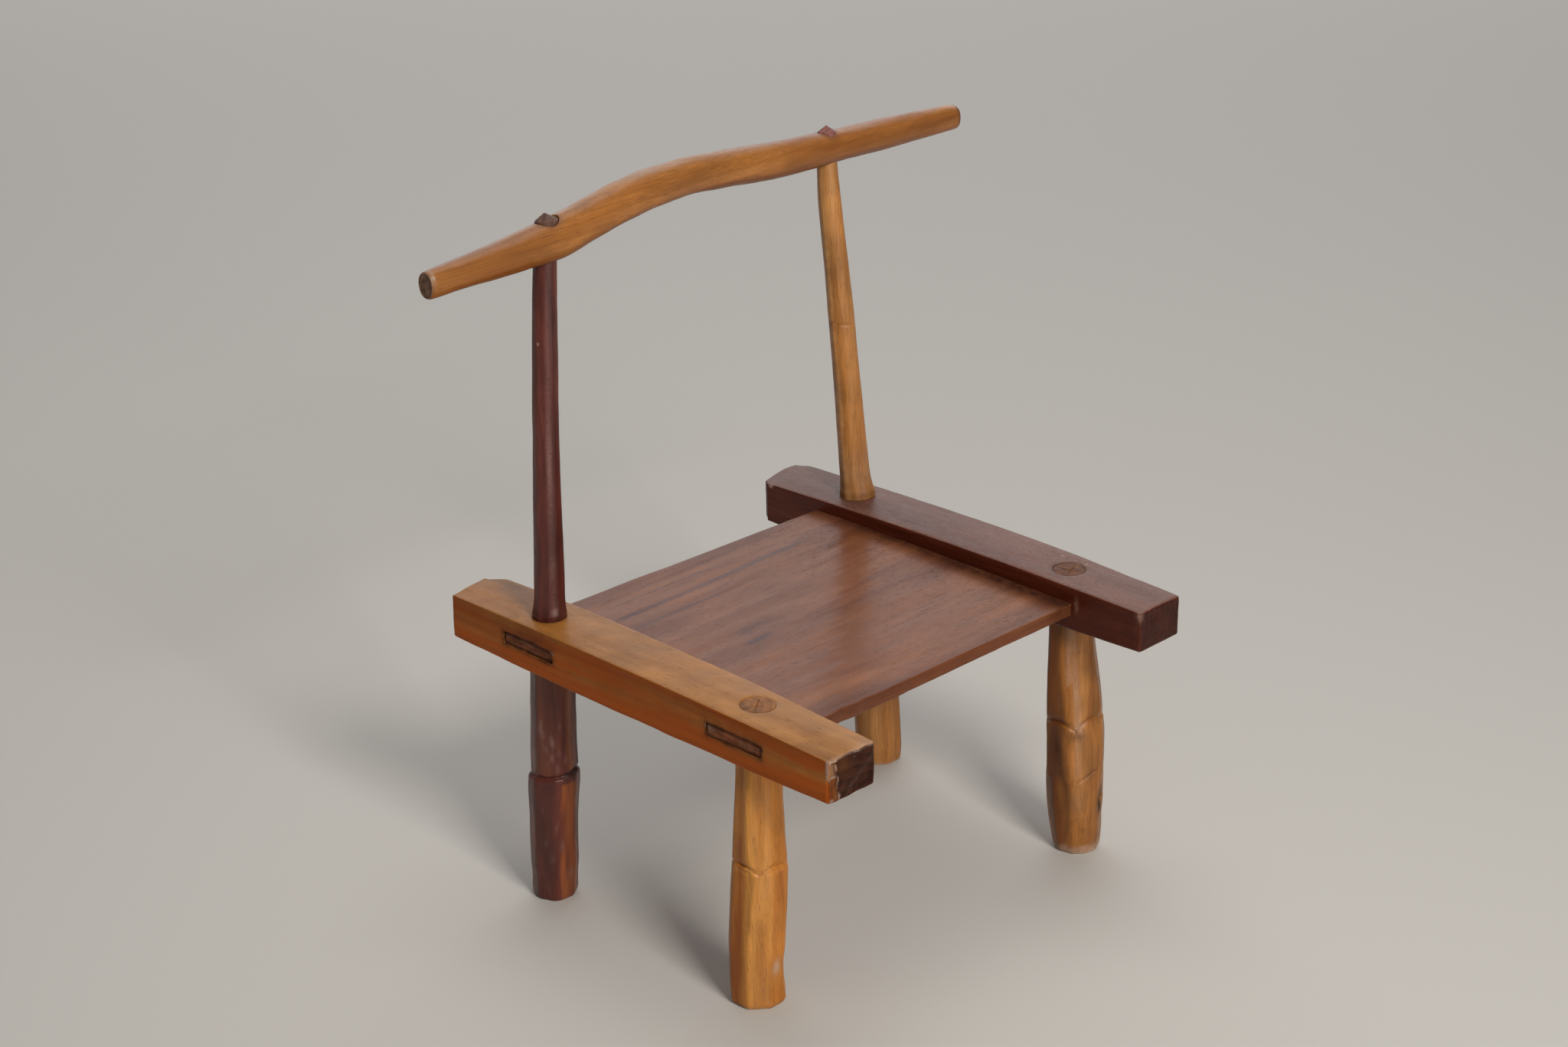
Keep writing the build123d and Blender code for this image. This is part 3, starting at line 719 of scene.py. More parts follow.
def front_leg(name, table, sets, notches, tenon, blends, count, seed, crack, top_z):
    rows, theta = leg_rows(table, sets, notches, tenon, blends, count, seed)
    (z0, x0, y0, r0), (z1, x1, y1, r1) = tenon
    z = np.linspace(z1 - 5.0, z1 - 0.5, 9)[1:]
    t = (z - z0) / (z1 - z0)
    cx, cy = x0 + (x1 - x0) * t, y0 + (y1 - y0) * t
    ragged = 0.18 * noise(np.stack([np.cos(theta) * 14, np.sin(theta) * 14, theta * 0], -1), (3.5, 3.5, 3), seed + 9)
    ring = r1 + ragged
    rows.append(np.stack([
        cx[:, None] + ring * np.cos(theta), cy[:, None] + ring * np.sin(theta),
        np.broadcast_to(z[:, None], (len(z), count)),
    ], -1))
    last = rows[-1][-1].copy()
    # a rounded rim, then the sawn and worn end
    for a in np.radians([20, 45, 68, 90]):
        k = 1 - 0.026 * (1 - math.cos(a))
        turned = last.copy()
        turned[:, :2] = last[:, :2].mean(0) + (last[:, :2] - last[:, :2].mean(0)) * k
        turned[:, 2] = z1 - 0.5 + 0.45 * math.sin(a)
        rows.append(turned[None])
    edge = rows[-1][0]
    cxy = edge[:, :2].mean(0)

    def height(x, y):
        p = np.stack([x, y, np.zeros_like(x)], -1)
        h = z1 - 0.05 + 0.22 * noise(p, (6, 6, 6), seed + 20) + 0.10 * noise(p, (1.6, 1.6, 2), seed + 21)
        for bearing, offset, width, depth, half in crack:
            a = math.radians(bearing)
            dx, dy = x - cxy[0], y - cxy[1]
            across = -dx * math.sin(a) + dy * math.cos(a) - offset + 0.4 * noise(p, (4, 4, 4), seed + 30)
            along = dx * math.cos(a) + dy * math.sin(a)
            h = h - depth * bell(across, width) * smooth((half - np.abs(along)) / 3)
        return np.minimum(h, top_z(x, y) + 0.35)

    rows.append(cap(edge, height, 26))
    return skin(name, np.concatenate(rows))


def rear_stick(name, table, sets, notches, tenon, post, post_sets, count, seed, tip, marks):
    rows, theta = leg_rows(table, sets, notches, tenon, (1.2,), count, seed)
    fine = [(m["z"], 6.0, 0.6) for m in marks]
    z = spaced(tenon[-1][0] - 4.0, 594.0, 1.25, fine + [(264.0, 8.0, 0.6)])
    p, out, d = round_run(post, theta, z, post_sets, 16.0, seed + 40)
    zz = p[..., 2]
    for m in marks:
        deg = (np.degrees(theta) - m["at"] + 180) % 360 - 180
        level = m["z"] + m.get("tilt", 0.0) * np.sin(np.radians(deg))
        depth = m["depth"] * np.ones_like(deg)
        if "window" in m:
            lo, hi = m["window"]
            depth = depth * smooth((deg - lo) / 10) * smooth((hi - deg) / 10)
        v = (zz - level[None, :]) / m["width"]
        d -= depth[None, :] * np.maximum(0, 1 - np.abs(v)) ** 1.3
    # small swollen collar above the rail, bruised by the fitting
    foot = post[0][0]
    d += 0.5 * bell(zz - foot - 4.0, 3.5) * (0.6 + 0.6 * noise(p, (8, 8, 6), seed + 44))
    d -= 0.9 * np.maximum(0, noise(p, (5, 5, 4), seed + 45) - 0.35) * bell(zz - foot - 3.0, 4.0)
    p = p + out * d[..., None]
    p[..., 2] = zz
    rows.append(p)
    # knife-cut peak above the crest rail
    ring = p[-1]
    z_mid, x1, y1, r1 = post[-1][0], post[-1][1], post[-1][2], post[-1][3]
    apex = np.array([x1 + tip["apex"][0], y1 + tip["apex"][1]])

    def height(x, y):
        h = np.full(np.shape(x), tip["top"])
        for bearing, slope, start in tip["cuts"]:
            a = math.radians(bearing)
            run = (x - apex[0]) * math.cos(a) + (y - apex[1]) * math.sin(a) - start
            h = np.minimum(h, tip["top"] - slope * run)
        q = np.stack([x, y, np.zeros_like(x)], -1)
        return h + 0.18 * noise(q, (3, 3, 3), seed + 50)

    cx, cy = curve(post)(np.array([600.0]))[:2]
    lean = np.array([cx[0] - ring[:, 0].mean(), cy[0] - ring[:, 1].mean()])
    top = ring.copy()
    top[:, :2] = ring[:, :2] + lean
    top[:, 2] = height(top[:, 0], top[:, 1]) - 0.4
    for k in np.linspace(0, 1, 13)[1:]:
        rows.append(lerp(ring, top, k)[None])
    for a in np.radians([30, 60, 90]):
        k = 1 - 0.06 * (1 - math.cos(a))
        turned = top.copy()
        c = top[:, :2].mean(0)
        turned[:, :2] = c + (top[:, :2] - c) * k
        turned[:, 2] = top[:, 2] + 0.4 * math.sin(a)
        rows.append(turned[None])
    rows.append(cap(rows[-1][0], height, 20))
    return skin(name, np.concatenate(rows))


# =================================================================== rails
def rail(name, low, high, top, bottom, y_front, y_rear, plan, seed, radii, spacing, crown, holes, slots, end_relief):
    """plan: functions that pull the sides in near the ends, and slant the ends."""
    n_front, n_rear = 3.2, 3.2
    y = np.concatenate([
        np.linspace(y_front + n_front, y_rear - n_rear, int((y_rear - y_front) / spacing)),
    ])
    side_w, side_h, arc = int(46 / spacing), int(35 / spacing), 6

    def ring_at(y_base, y_place, inset):
        """Rounded rectangle at each y_base, drawn at y_place, pulled in by inset."""
        xl, xh = plan["low"](y_base) + inset, plan["high"](y_base) - inset
        zt, zb = on_arc(top, y_base) - inset, on_arc(bottom, y_base) + inset
        corners = []
        for c, (cx, cz, a0) in enumerate(((xh, zt, 0), (xl, zt, 90), (xl, zb, 180), (xh, zb, 270))):
            r = np.maximum(radii(c, y_base) - 0.4 * inset, 0.6)
            sx = -1 if c in (0, 3) else 1
            sz = -1 if c in (0, 1) else 1
            a = np.radians(a0 + np.linspace(0, 90, arc + 1))
            px = (cx + sx * r)[:, None] + r[:, None] * np.cos(a)
            pz = (cz + sz * r)[:, None] + r[:, None] * np.sin(a)
            corners.append((px, pz))
        xs, zs = [], []
        for c in range(4):
            px, pz = corners[c]
            nx, nz = corners[(c + 1) % 4]
            xs.append(px)
            zs.append(pz)
            n = side_w if c in (0, 2) else side_h
            k = np.linspace(0, 1, n + 1)[1:-1][None]
            xs.append(lerp(px[:, -1:], nx[:, :1], k))
            zs.append(lerp(pz[:, -1:], nz[:, :1], k))
        x, z = np.concatenate(xs, 1), np.concatenate(zs, 1)
        yy = np.broadcast_to(y_place[:, None], x.shape).copy()
        # the ends aren't square to the rail
        front = smooth(1 - (yy - y_front) / 22.0)
        rear = smooth(1 - (y_rear - yy) / 22.0)
        yy += front * plan["front"](x, z) + rear * plan["rear"](x, z)
        return np.stack([x, yy, z], -1)

    body = ring_at(y, y, np.zeros_like(y))
    angles = np.radians([18, 36, 54, 72, 90])

    def end(y_end, way):
        rho = 2.6
        inset = rho * (1 - np.cos(angles))
        place_y = y_end - way * (n_front - rho * np.sin(angles)) - way * 0.0
        base = np.full(len(angles), y_end - way * n_front)
        turned = ring_at(base, place_y, inset)
        edge = turned[-1]
        centre = edge.mean(0)
        s = np.linspace(1, 0.02, int(21 / spacing) + 1)[1:]
        face = centre[None, None] + (edge[None] - centre) * s[:, None, None]
        face[..., 1] += end_relief(face, way)
        return turned, face

    fr_turn, fr_face = end(y_front, -1)
    re_turn, re_face = end(y_rear, 1)
    rows = np.concatenate([fr_face[::-1], fr_turn[::-1], body, re_turn, re_face])
    obj = skin(name, rows)

    def carve(p, n):
        d = 0.42 * noise(p, (34, 75, 34), seed) + 0.20 * noise(p, (11, 30, 11), seed + 1)
        d += 0.07 * noise(p, (3.0, 12, 3.0), seed + 2)
        up = smooth((n[:, 2] - 0.6) / 0.3)
        # long faces are a little crowned
        xl, xh = plan["low"](p[:, 1]), plan["high"](p[:, 1])
        u = np.clip((p[:, 0] - xl) / (xh - xl), 0, 1) * 2 - 1
        d += up * crown * (-(u**2))
        # sunk, rounded rims round the tenons
        for hx, hy, hr in holes:
            gap = np.hypot(p[:, 0] - hx, p[:, 1] - hy) - hr
            d -= up * 0.55 * bell(np.maximum(gap, 0), 1.6) * (gap > -4)
        return d

    push(obj, carve)

    # edges bruised here and there
    edge = relief(obj, 3.0)
    p, n = points_of(obj), normals_of(obj)
    on_edge = smooth((edge - 0.10) / 0.35)
    bruise = np.maximum(0, fbm(p, (7, 11, 7), seed + 7, 3) - 0.12)
    p = p - n * (on_edge * (2.6 * bruise))[:, None]
    put_points(obj, p)
    return obj


def hole_cutter(tenon, gap, seed):
    (z0, x0, y0, r0), (z1, x1, y1, r1) = tenon
    theta = np.linspace(0, 2 * np.pi, 96, endpoint=False)
    z = np.array([z0 - 12, z1 - 6.0, z1 - 1.2, z1 + 0.4, z1 + 12])
    t = (z - z0) / (z1 - z0)
    grow = np.array([0.0, 0.0, 0.04, 0.18, 0.18])
    cx, cy = x0 + (x1 - x0) * t, y0 + (y1 - y0) * t
    ragged = 0.15 * noise(np.stack([np.cos(theta) * 14, np.sin(theta) * 14, theta * 0], -1), (4, 4, 4), seed)
    r = (lerp(r0, r1, t) + gap + grow)[:, None] + ragged[None]
    rows = np.stack([cx[:, None] + r * np.cos(theta), cy[:, None] + r * np.sin(theta), np.broadcast_to(z[:, None], r.shape)], -1)
    return skin("hole", rows)


def oblong(y0, y1, height, radius, per_side=(44, 9, 6)):
    """Points round an oblong in (y, offset from the middle height), from the middle of one end."""
    n_long, n_short, n_arc = per_side
    hy, hz = (y1 - y0) / 2, height / 2
    ym = (y0 + y1) / 2
    pts = []
    for sy, sz, a0 in ((1, 1, 0), (-1, 1, 90), (-1, -1, 180), (1, -1, 270)):
        a = np.radians(a0 + np.linspace(0, 90, n_arc + 1))
        corner = np.stack([sy * (hy - radius) + radius * np.cos(a), sz * (hz - radius) + radius * np.sin(a)], 1)
        pts.append(corner)
    out = []
    for k in range(4):
        out.append(pts[k])
        nxt = pts[(k + 1) % 4]
        n = n_long if k in (0, 2) else n_short
        t = np.linspace(0, 1, n + 1)[1:-1, None]
        out.append(lerp(pts[k][-1:], nxt[:1], t))
    ring = np.concatenate(out)
    return ym + ring[:, 0], ring[:, 1]


def slot_cutter(x_from, x_to, y0, y1, mid, height, seed, skew=0.0):
    """Through mortise for a flat tenon, with squarish knife-cut ends; mid(y) is its middle height."""
    y, w = oblong(y0, y1, height, 3.2)
    ym, half = (y0 + y1) / 2, (y1 - y0) / 2
    rows = []
    for x in np.linspace(x_from, x_to, 9):
        q = np.stack([np.full_like(y, x), y, w * 2], -1)
        end = smooth((np.abs(y - ym) - half + 9) / 7)
        dy = np.sign(y - ym) * end * (0.6 * noise(q, (9, 9, 6), seed) + skew * w / 6)
        dw = 0.42 * noise(q, (9, 10, 30), seed + 1) + 0.18 * noise(q, (5, 3.5, 30), seed + 2)
        rows.append(np.stack([np.full_like(y, x), y + dy, mid(y) + w + dw], -1))
    return skin("slot", np.array(rows))


# ============================================================ build: seat
def seat_twist(x, y):
    """The plank isn't quite flat: its corners rise and fall a little."""
    u = np.clip((x + 160) / 300, -0.2, 1.2)
    v = np.clip((y + 150) / 300, -0.1, 1.1)
    fl, fr, rl, rr = 1.9, 1.5, -0.9, 0.9
    return lerp(lerp(fl, fr, u), lerp(rl, rr, u), v)


def seat_top(x, y):
    return SEAT_Z + SEAT_RISE * y + seat_twist(x, y)


def build_seat():
    spacing = 1.9
    u = np.linspace(0, 1, int(298 / spacing) + 1)
    n_top, n_edge = int(300 / spacing), 5

    def edge_y(u, front):
        wob = np.stack([u * 298, np.zeros_like(u), np.zeros_like(u)], -1)
        if front:
            y = lerp(-150.95, -150.8, u)
            y = y + 0.5 * noise(wob, (40, 9, 9), 61) + 0.25 * noise(wob, (9, 9, 9), 62)
            # worn wavy front edge towards the left rail
            y = y + 1.6 * bell(u * 298 - 34, 9) + 0.9 * bell(u * 298 - 60, 7) + 0.6 * bell(u * 298 - 12, 6)
        else:
            y = lerp(152.35, 139.75, u)
            y = y + 0.6 * noise(wob, (50, 9, 9), 63) + 0.25 * noise(wob, (10, 9, 9), 64)
        return y

    yf, yr = edge_y(u, True), edge_y(u, False)
    # profile round the plank, front edge to rear edge over the top and back below
    arc = np.radians(np.linspace(0, 90, n_edge + 1))
    r_top, r_bot = 0.9, 1.5
    prof = []
    v = np.linspace(0, 1, n_top + 1)
    # start: top front corner, from front face (k=0) to top face (k=90)
    for k in arc:
        prof.append((0, r_top * (1 - math.cos(k)), -r_top * (1 - math.sin(k))))
    for t in v[1:-1]:
        prof.append((t, None, 0.0))
    for k in arc[::-1]:
        prof.append((1, -r_top * (1 - math.cos(k)), -r_top * (1 - math.sin(k))))
    for t in (0.25, 0.5, 0.75):
        prof.append((1, 0.0, lerp(-r_top, -SEAT_T + r_bot, t)))
    for k in arc:
        prof.append((1, -r_bot * (1 - math.cos(k)), -SEAT_T + r_bot * (1 - math.sin(k))))
    for t in v[1:-1][::-1]:
        prof.append((t, None, -SEAT_T))
    for k in arc[::-1]:
        prof.append((0, r_bot * (1 - math.cos(k)), -SEAT_T + r_bot * (1 - math.sin(k))))
    for t in (0.25, 0.5, 0.75):
        prof.append((0, 0.0, lerp(-SEAT_T + r_bot, -r_top, t)))
    cols = len(prof)
    y = np.zeros((len(u), cols))
    dz = np.zeros(cols)
    for c, (t, off, z) in enumerate(prof):
        if off is None:
            r = r_top if z == 0.0 else r_bot
            y[:, c] = lerp(yf + r, yr - r, t)
        else:
            y[:, c] = (yf if t == 0 else yr) + off
        dz[c] = z
    xl = on_arc(L_HIGH, y) + 0.15
    xr = on_arc(R_LOW, y) - 0.15
    x = xl + (xr - xl) * u[:, None]
    z = seat_top(x, y) + dz[None]
    body = np.stack([x, y, z], -1)

    # start each ring half way up the front edge
    seat = plank_skin("seat_board", np.roll(body, 2, axis=1))

    def carve(p, n):
        up = np.abs(n[:, 2])
        d = 0.30 * noise(p, (110, 34, 60), 71) + 0.16 * noise(p, (45, 11, 30), 72) + 0.05 * noise(p, (18, 3.2, 9), 73)
        return d * lerp(0.7, 1.0, up)

    push(seat, carve)
    edge = relief(seat, 3.2)
    p, n = points_of(seat), normals_of(seat)
    on_edge = smooth((edge - 0.12) / 0.4)
    near_joint = smooth((p[:, 0] + 157) / 6) * smooth((137 - p[:, 0]) / 6)
    bruise = np.maximum(0, fbm(p, (12, 8, 8), 77, 3) - 0.15)
    p = p - n * (on_edge * near_joint * 2.2 * bruise)[:, None]
    put_points(seat, p)

    # flat tenons through the rails
    for tenons, low, x_in, way, seed in ((L_TENONS, L_LOW, -152.0, -1, 81), (R_TENONS, R_HIGH, 134.0, 1, 83)):
        for n_t, (y0, y1) in enumerate(tenons):
            ym, half = (y0 + y1) / 2, (y1 - y0) / 2
            x_out = float(on_arc(low, ym)) - way * (1.2 + 0.3 * n_t)
            xs = np.linspace(x_in, x_out, 26)
            rings = []
            for k, x_k in enumerate(xs):
                f = k / (len(xs) - 1)
                thick = lerp(10.8, 10.6, f)
                yy, ww = oblong(y0 + 0.4 * f, y1 - 0.4 * f, thick, lerp(2.6, 2.4, f))
                q = np.stack([np.full_like(yy, x_k), yy, ww * 2], -1)
                dw = 0.14 * noise(q, (8, 9, 30), seed + n_t) + 0.08 * noise(q, (4, 3.5, 30), seed + 7 + n_t)
                mid = seat_top(np.full_like(yy, x_k), yy) - SEAT_T / 2
                rings.append(np.stack([np.full_like(yy, x_k), yy, mid + ww + dw], -1))
            last = rings[-1]
            for a in np.radians([22, 45, 68, 90]):  # a well rounded arris
                turned = last.copy()
                turned[:, 0] += way * 0.7 * math.sin(a)
                turned[:, 1] = ym + (last[:, 1] - ym) * (1 - 0.018 * (1 - math.cos(a)))
                centre = seat_top(last[:, 0], last[:, 1]) - SEAT_T / 2
                turned[:, 2] = centre + (last[:, 2] - centre) * (1 - 0.09 * (1 - math.cos(a)))
                rings.append(turned)
            edge_ring = rings[-1]
            centre = seat_top(edge_ring[:, 0], edge_ring[:, 1]) - SEAT_T / 2
            for k in np.linspace(1, 0.04, 9)[1:]:
                face = edge_ring.copy()
                face[:, 1] = lerp(np.clip(edge_ring[:, 1], ym - half + 5, ym + half - 5), edge_ring[:, 1], k)
                face[:, 2] = centre + (edge_ring[:, 2] - centre) * k
                face[:, 0] += way * (0.45 * noise(face, (3, 6, 2.2), seed + 30 + n_t) + 0.2 * noise(face, (2, 2, 1.1), seed + 34))
                rings.append(face)
            tenon = skin("tenon", np.array(rings))
            combine(seat, tenon, "UNION")
    return seat


# =========================================================== build: crest
def build_crest():
    spacing = 1.25
    at = curve(CREST)
    x0, x1 = -308.8, 309.3
    x = np.linspace(x0 + 3.0, x1 - 3.6, int((x1 - x0) / spacing))
    count = 104
    theta = np.linspace(0, 2 * np.pi, count, endpoint=False)
    c, s = np.cos(theta), np.sin(theta)

    def rings(x_shape, x_place, grow):
        z, hz, hy = at(x_shape)
        e = 2.35
        yy = np.sign(c)[None] * np.abs(c)[None] ** (2 / e) * (hy * grow)[:, None]
        zz = np.sign(s)[None] * np.abs(s)[None] ** (2 / e) * (hz * grow)[:, None]
        xx = np.broadcast_to(x_place[:, None], yy.shape)
        return np.stack([xx, CREST_Y0 + CREST_SLOPE * xx + yy, z[:, None] + zz], -1)

    shape = x * (303.2 / 305.8)
    body = rings(shape, x, np.ones_like(x))
    p = body
    centre = np.stack([x, CREST_Y0 + CREST_SLOPE * x, at(shape)[0]], -1)[:, None]
    out = p - centre
    out = out / np.linalg.norm(out, axis=-1, keepdims=True)
    d = 0.42 * noise(p, (48, 11, 11), 101) + 0.22 * noise(p, (19, 6, 6), 102) + 0.07 * noise(p, (6, 2.2, 2.2), 103)
    body = p + out * d[..., None]
    rows = [body]
    for end_x, base, way, soft in ((x0, body[0], -1, 0.85), (x1, body[-1], 1, 1.25)):
        turned = []
        reach = 3.0 if way < 0 else 3.6
        mid = base.mean(0)
        for a in np.radians([15, 30, 45, 60, 75, 90]):
            k = 1 - 0.16 * soft * (1 - math.cos(a))
            ring = mid + (base - mid) * k
            ring[:, 0] = base[:, 0] + way * reach * math.sin(a)
            turned.append(ring)
        edge = turned[-1]
        mid = edge.mean(0)
        face = mid + (edge[None] - mid) * np.linspace(1, 0.03, 10)[1:][:, None, None]
        face[..., 0] -= way * (0.35 + 0.35 * noise(face, (3, 4, 4), 110) + 0.15 * noise(face, (1, 1.2, 1.2), 111))
        block = np.concatenate([np.array(turned), face])
        if way < 0:
            rows.insert(0, block[::-1])
        else:
            rows.append(block)
    crest = skin("crest_rail", np.concatenate(rows))
    for post, r_gap, seed in ((POST_L, 0.35, 121), (POST_R, 0.35, 122)):
        zs = np.array([552.0, 570.0, 590.0, 596.0, 601.0, 612.0])
        cx, cy, r = curve(post)(np.minimum(zs, post[-1][0]))
        ct = np.linspace(0, 2 * np.pi, 80, endpoint=False)
        grow = np.array([0.35, 0.0, 0.0, 0.15, 0.4, 0.4])
        rag = 0.15 * noise(np.stack([np.cos(ct) * 9, np.sin(ct) * 9, ct * 0], -1), (3, 3, 3), seed)
        rr = (r + r_gap + grow)[:, None] + rag[None]
        cut = np.stack([cx[:, None] + rr * np.cos(ct), cy[:, None] + rr * np.sin(ct), np.broadcast_to(zs[:, None], rr.shape)], -1)
        combine(crest, skin("hole", cut), "DIFFERENCE")
    return crest


# ============================================================ build: rails
def l_plan():
    def low(y):
        return on_arc(L_LOW, np.clip(y, -223.75, 218.4))

    def high(y):
        x = on_arc(L_HIGH, np.minimum(y, 205.2))
        return x - 11.0 * smooth((y - 204.0) / 17.0) ** 1.2

    def front(x, z):
        # the upper lip is bitten back beside the worn corner
        q = np.stack([x, np.zeros_like(x), z], -1)
        lip = 1.9 * bell(x + 198, 8.0) * smooth((z - 246) / 14) + 0.6 * noise(q, (9, 9, 12), 154)
        # the outer corner has split away, further back above a shelf
        worn_and_lit = 1.7 * np.clip((-210.3 - x) / 9.0, 0, 1)
        return lip + worn_and_lit + 0.9 * smooth((240 - z) / 14) * smooth((x + 200) / 20)

    def rear(x, z):
        return -7.0 * np.clip((-170.8 - x) / 41.9, 0, 1)

    return {"low": low, "high": high, "rear": rear, "front": front}


def r_plan():
    def low(y):
        return on_arc(R_LOW, np.minimum(y, 204.5)) + 4.0 * smooth((y - 204) / 9.0)

    def high(y):
        return on_arc(R_HIGH, np.minimum(y, 199.0)) - 6.5 * smooth((y - 199) / 14.0)

    def front(x, z):
        q = np.stack([x, np.zeros_like(x), z], -1)
        return 0.5 * noise(q, (12, 9, 12), 164) + 1.3 * smooth((146 - x) / 6) * smooth((z - 252) / 8)

    def rear(x, z):
        return -9.5 * np.clip((176.0 - x) / 38.0, 0, 1) ** 1.15 - 3.0 * np.clip((x - 182.0) / 12.0, 0, 1)

    return {"low": low, "high": high, "rear": rear, "front": front}


def radii_of(seed, base):
    def radii(corner, y):
        p = np.stack([np.full_like(y, corner * 31.0), y, np.zeros_like(y)], -1)
        return base[corner] * (1 + 0.28 * noise(p, (9, 38, 9), seed) + 0.18 * noise(p, (9, 11, 9), seed + 1))
    return radii


def end_relief_left(face, way):
    d = way * (0.35 * noise(face, (9, 9, 9), 151) + 0.20 * noise(face, (2.4, 3, 2.4), 152))
    if way < 0:
        # two hewn planes meet on a ridge from the low outer corner to the high inner one
        across = (face[..., 2] - 243) * 0.80 - (face[..., 0] + 191) * 0.60
        d = d + 1.1 * np.abs(across + 1.0 * noise(face, (12, 9, 12), 153)) / 14 - 0.5 * bell(across, 2.2)
        torn = noise(face, (4, 4, 6), 155)
        split = smooth((-210.8 - face[..., 0] + 0.5 * torn) / 0.9)
        d = d + split * (0.5 + 1.1 * smooth((face[..., 2] - 245.0 - 0.6 * torn) / 1.0))
    return d


def end_relief_right(face, way):
    d = way * (0.35 * noise(face, (9, 9, 9), 161) + 0.16 * noise(face, (2.4, 3, 2.4), 162))
    if way < 0:
        run = (face[..., 0] - 165) * 0.5 - (face[..., 2] - 243) * 0.85
        d = d - way * 0.14 * np.sin(run / 2.9 + 1.4 * noise(face, (12, 9, 12), 163))
    return d


def build_rails():
    spacing = 1.25
    left = rail(
        "left_rail", L_LOW, L_HIGH, L_TOP, L_BOT, -223.75, 225.4, l_plan(), 141,
        radii_of(144, (2.0, 1.35, 1.9, 2.2)), spacing, 0.7,
        [(TENON_LF[1][1], TENON_LF[1][2], TENON_LF[1][3]), (TENON_LR[1][1], TENON_LR[1][2], TENON_LR[1][3])], [],
        end_relief_left,
    )
    right = rail(
        "right_rail", R_LOW, R_HIGH, R_TOP, R_BOT, -225.45, 215.5, r_plan(), 171,
        radii_of(174, (2.2, 1.9, 2.2, 2.2)), spacing, 0.6,
        [(TENON_RF[1][1], TENON_RF[1][2], TENON_RF[1][3]), (TENON_RR[1][1], TENON_RR[1][2], TENON_RR[1][3])], [],
        end_relief_right,
    )
    for obj, tenons, slots, x0, x1, seed in (
        (left, (TENON_LF, TENON_LR), L_TENONS, -232.0, -150.0, 181),
        (right, (TENON_RF, TENON_RR), R_TENONS, 128.0, 210.0, 191),
    ):
        cutters = []
        for k, tenon in enumerate(tenons):
            combine(obj, hole_cutter(tenon, 0.20, seed + k), "DIFFERENCE")
        for k, (y0, y1) in enumerate(slots):
            def mid(y, x=(x0 + x1) / 2):
                return seat_top(np.full_like(y, x), y) - SEAT_T / 2
            cut = slot_cutter(x0, x1, y0 - 0.7, y1 + 0.7, mid, (11.2, 11.4)[k], seed + 5 + k, skew=(0.6, -0.8)[k])
            combine(obj, cut, "DIFFERENCE")
    return left, right


# ================================================================= legs
VIEW_LF, VIEW_RF, VIEW_LR, VIEW_RR = -134.2, -140.3, -130.3, -137.0


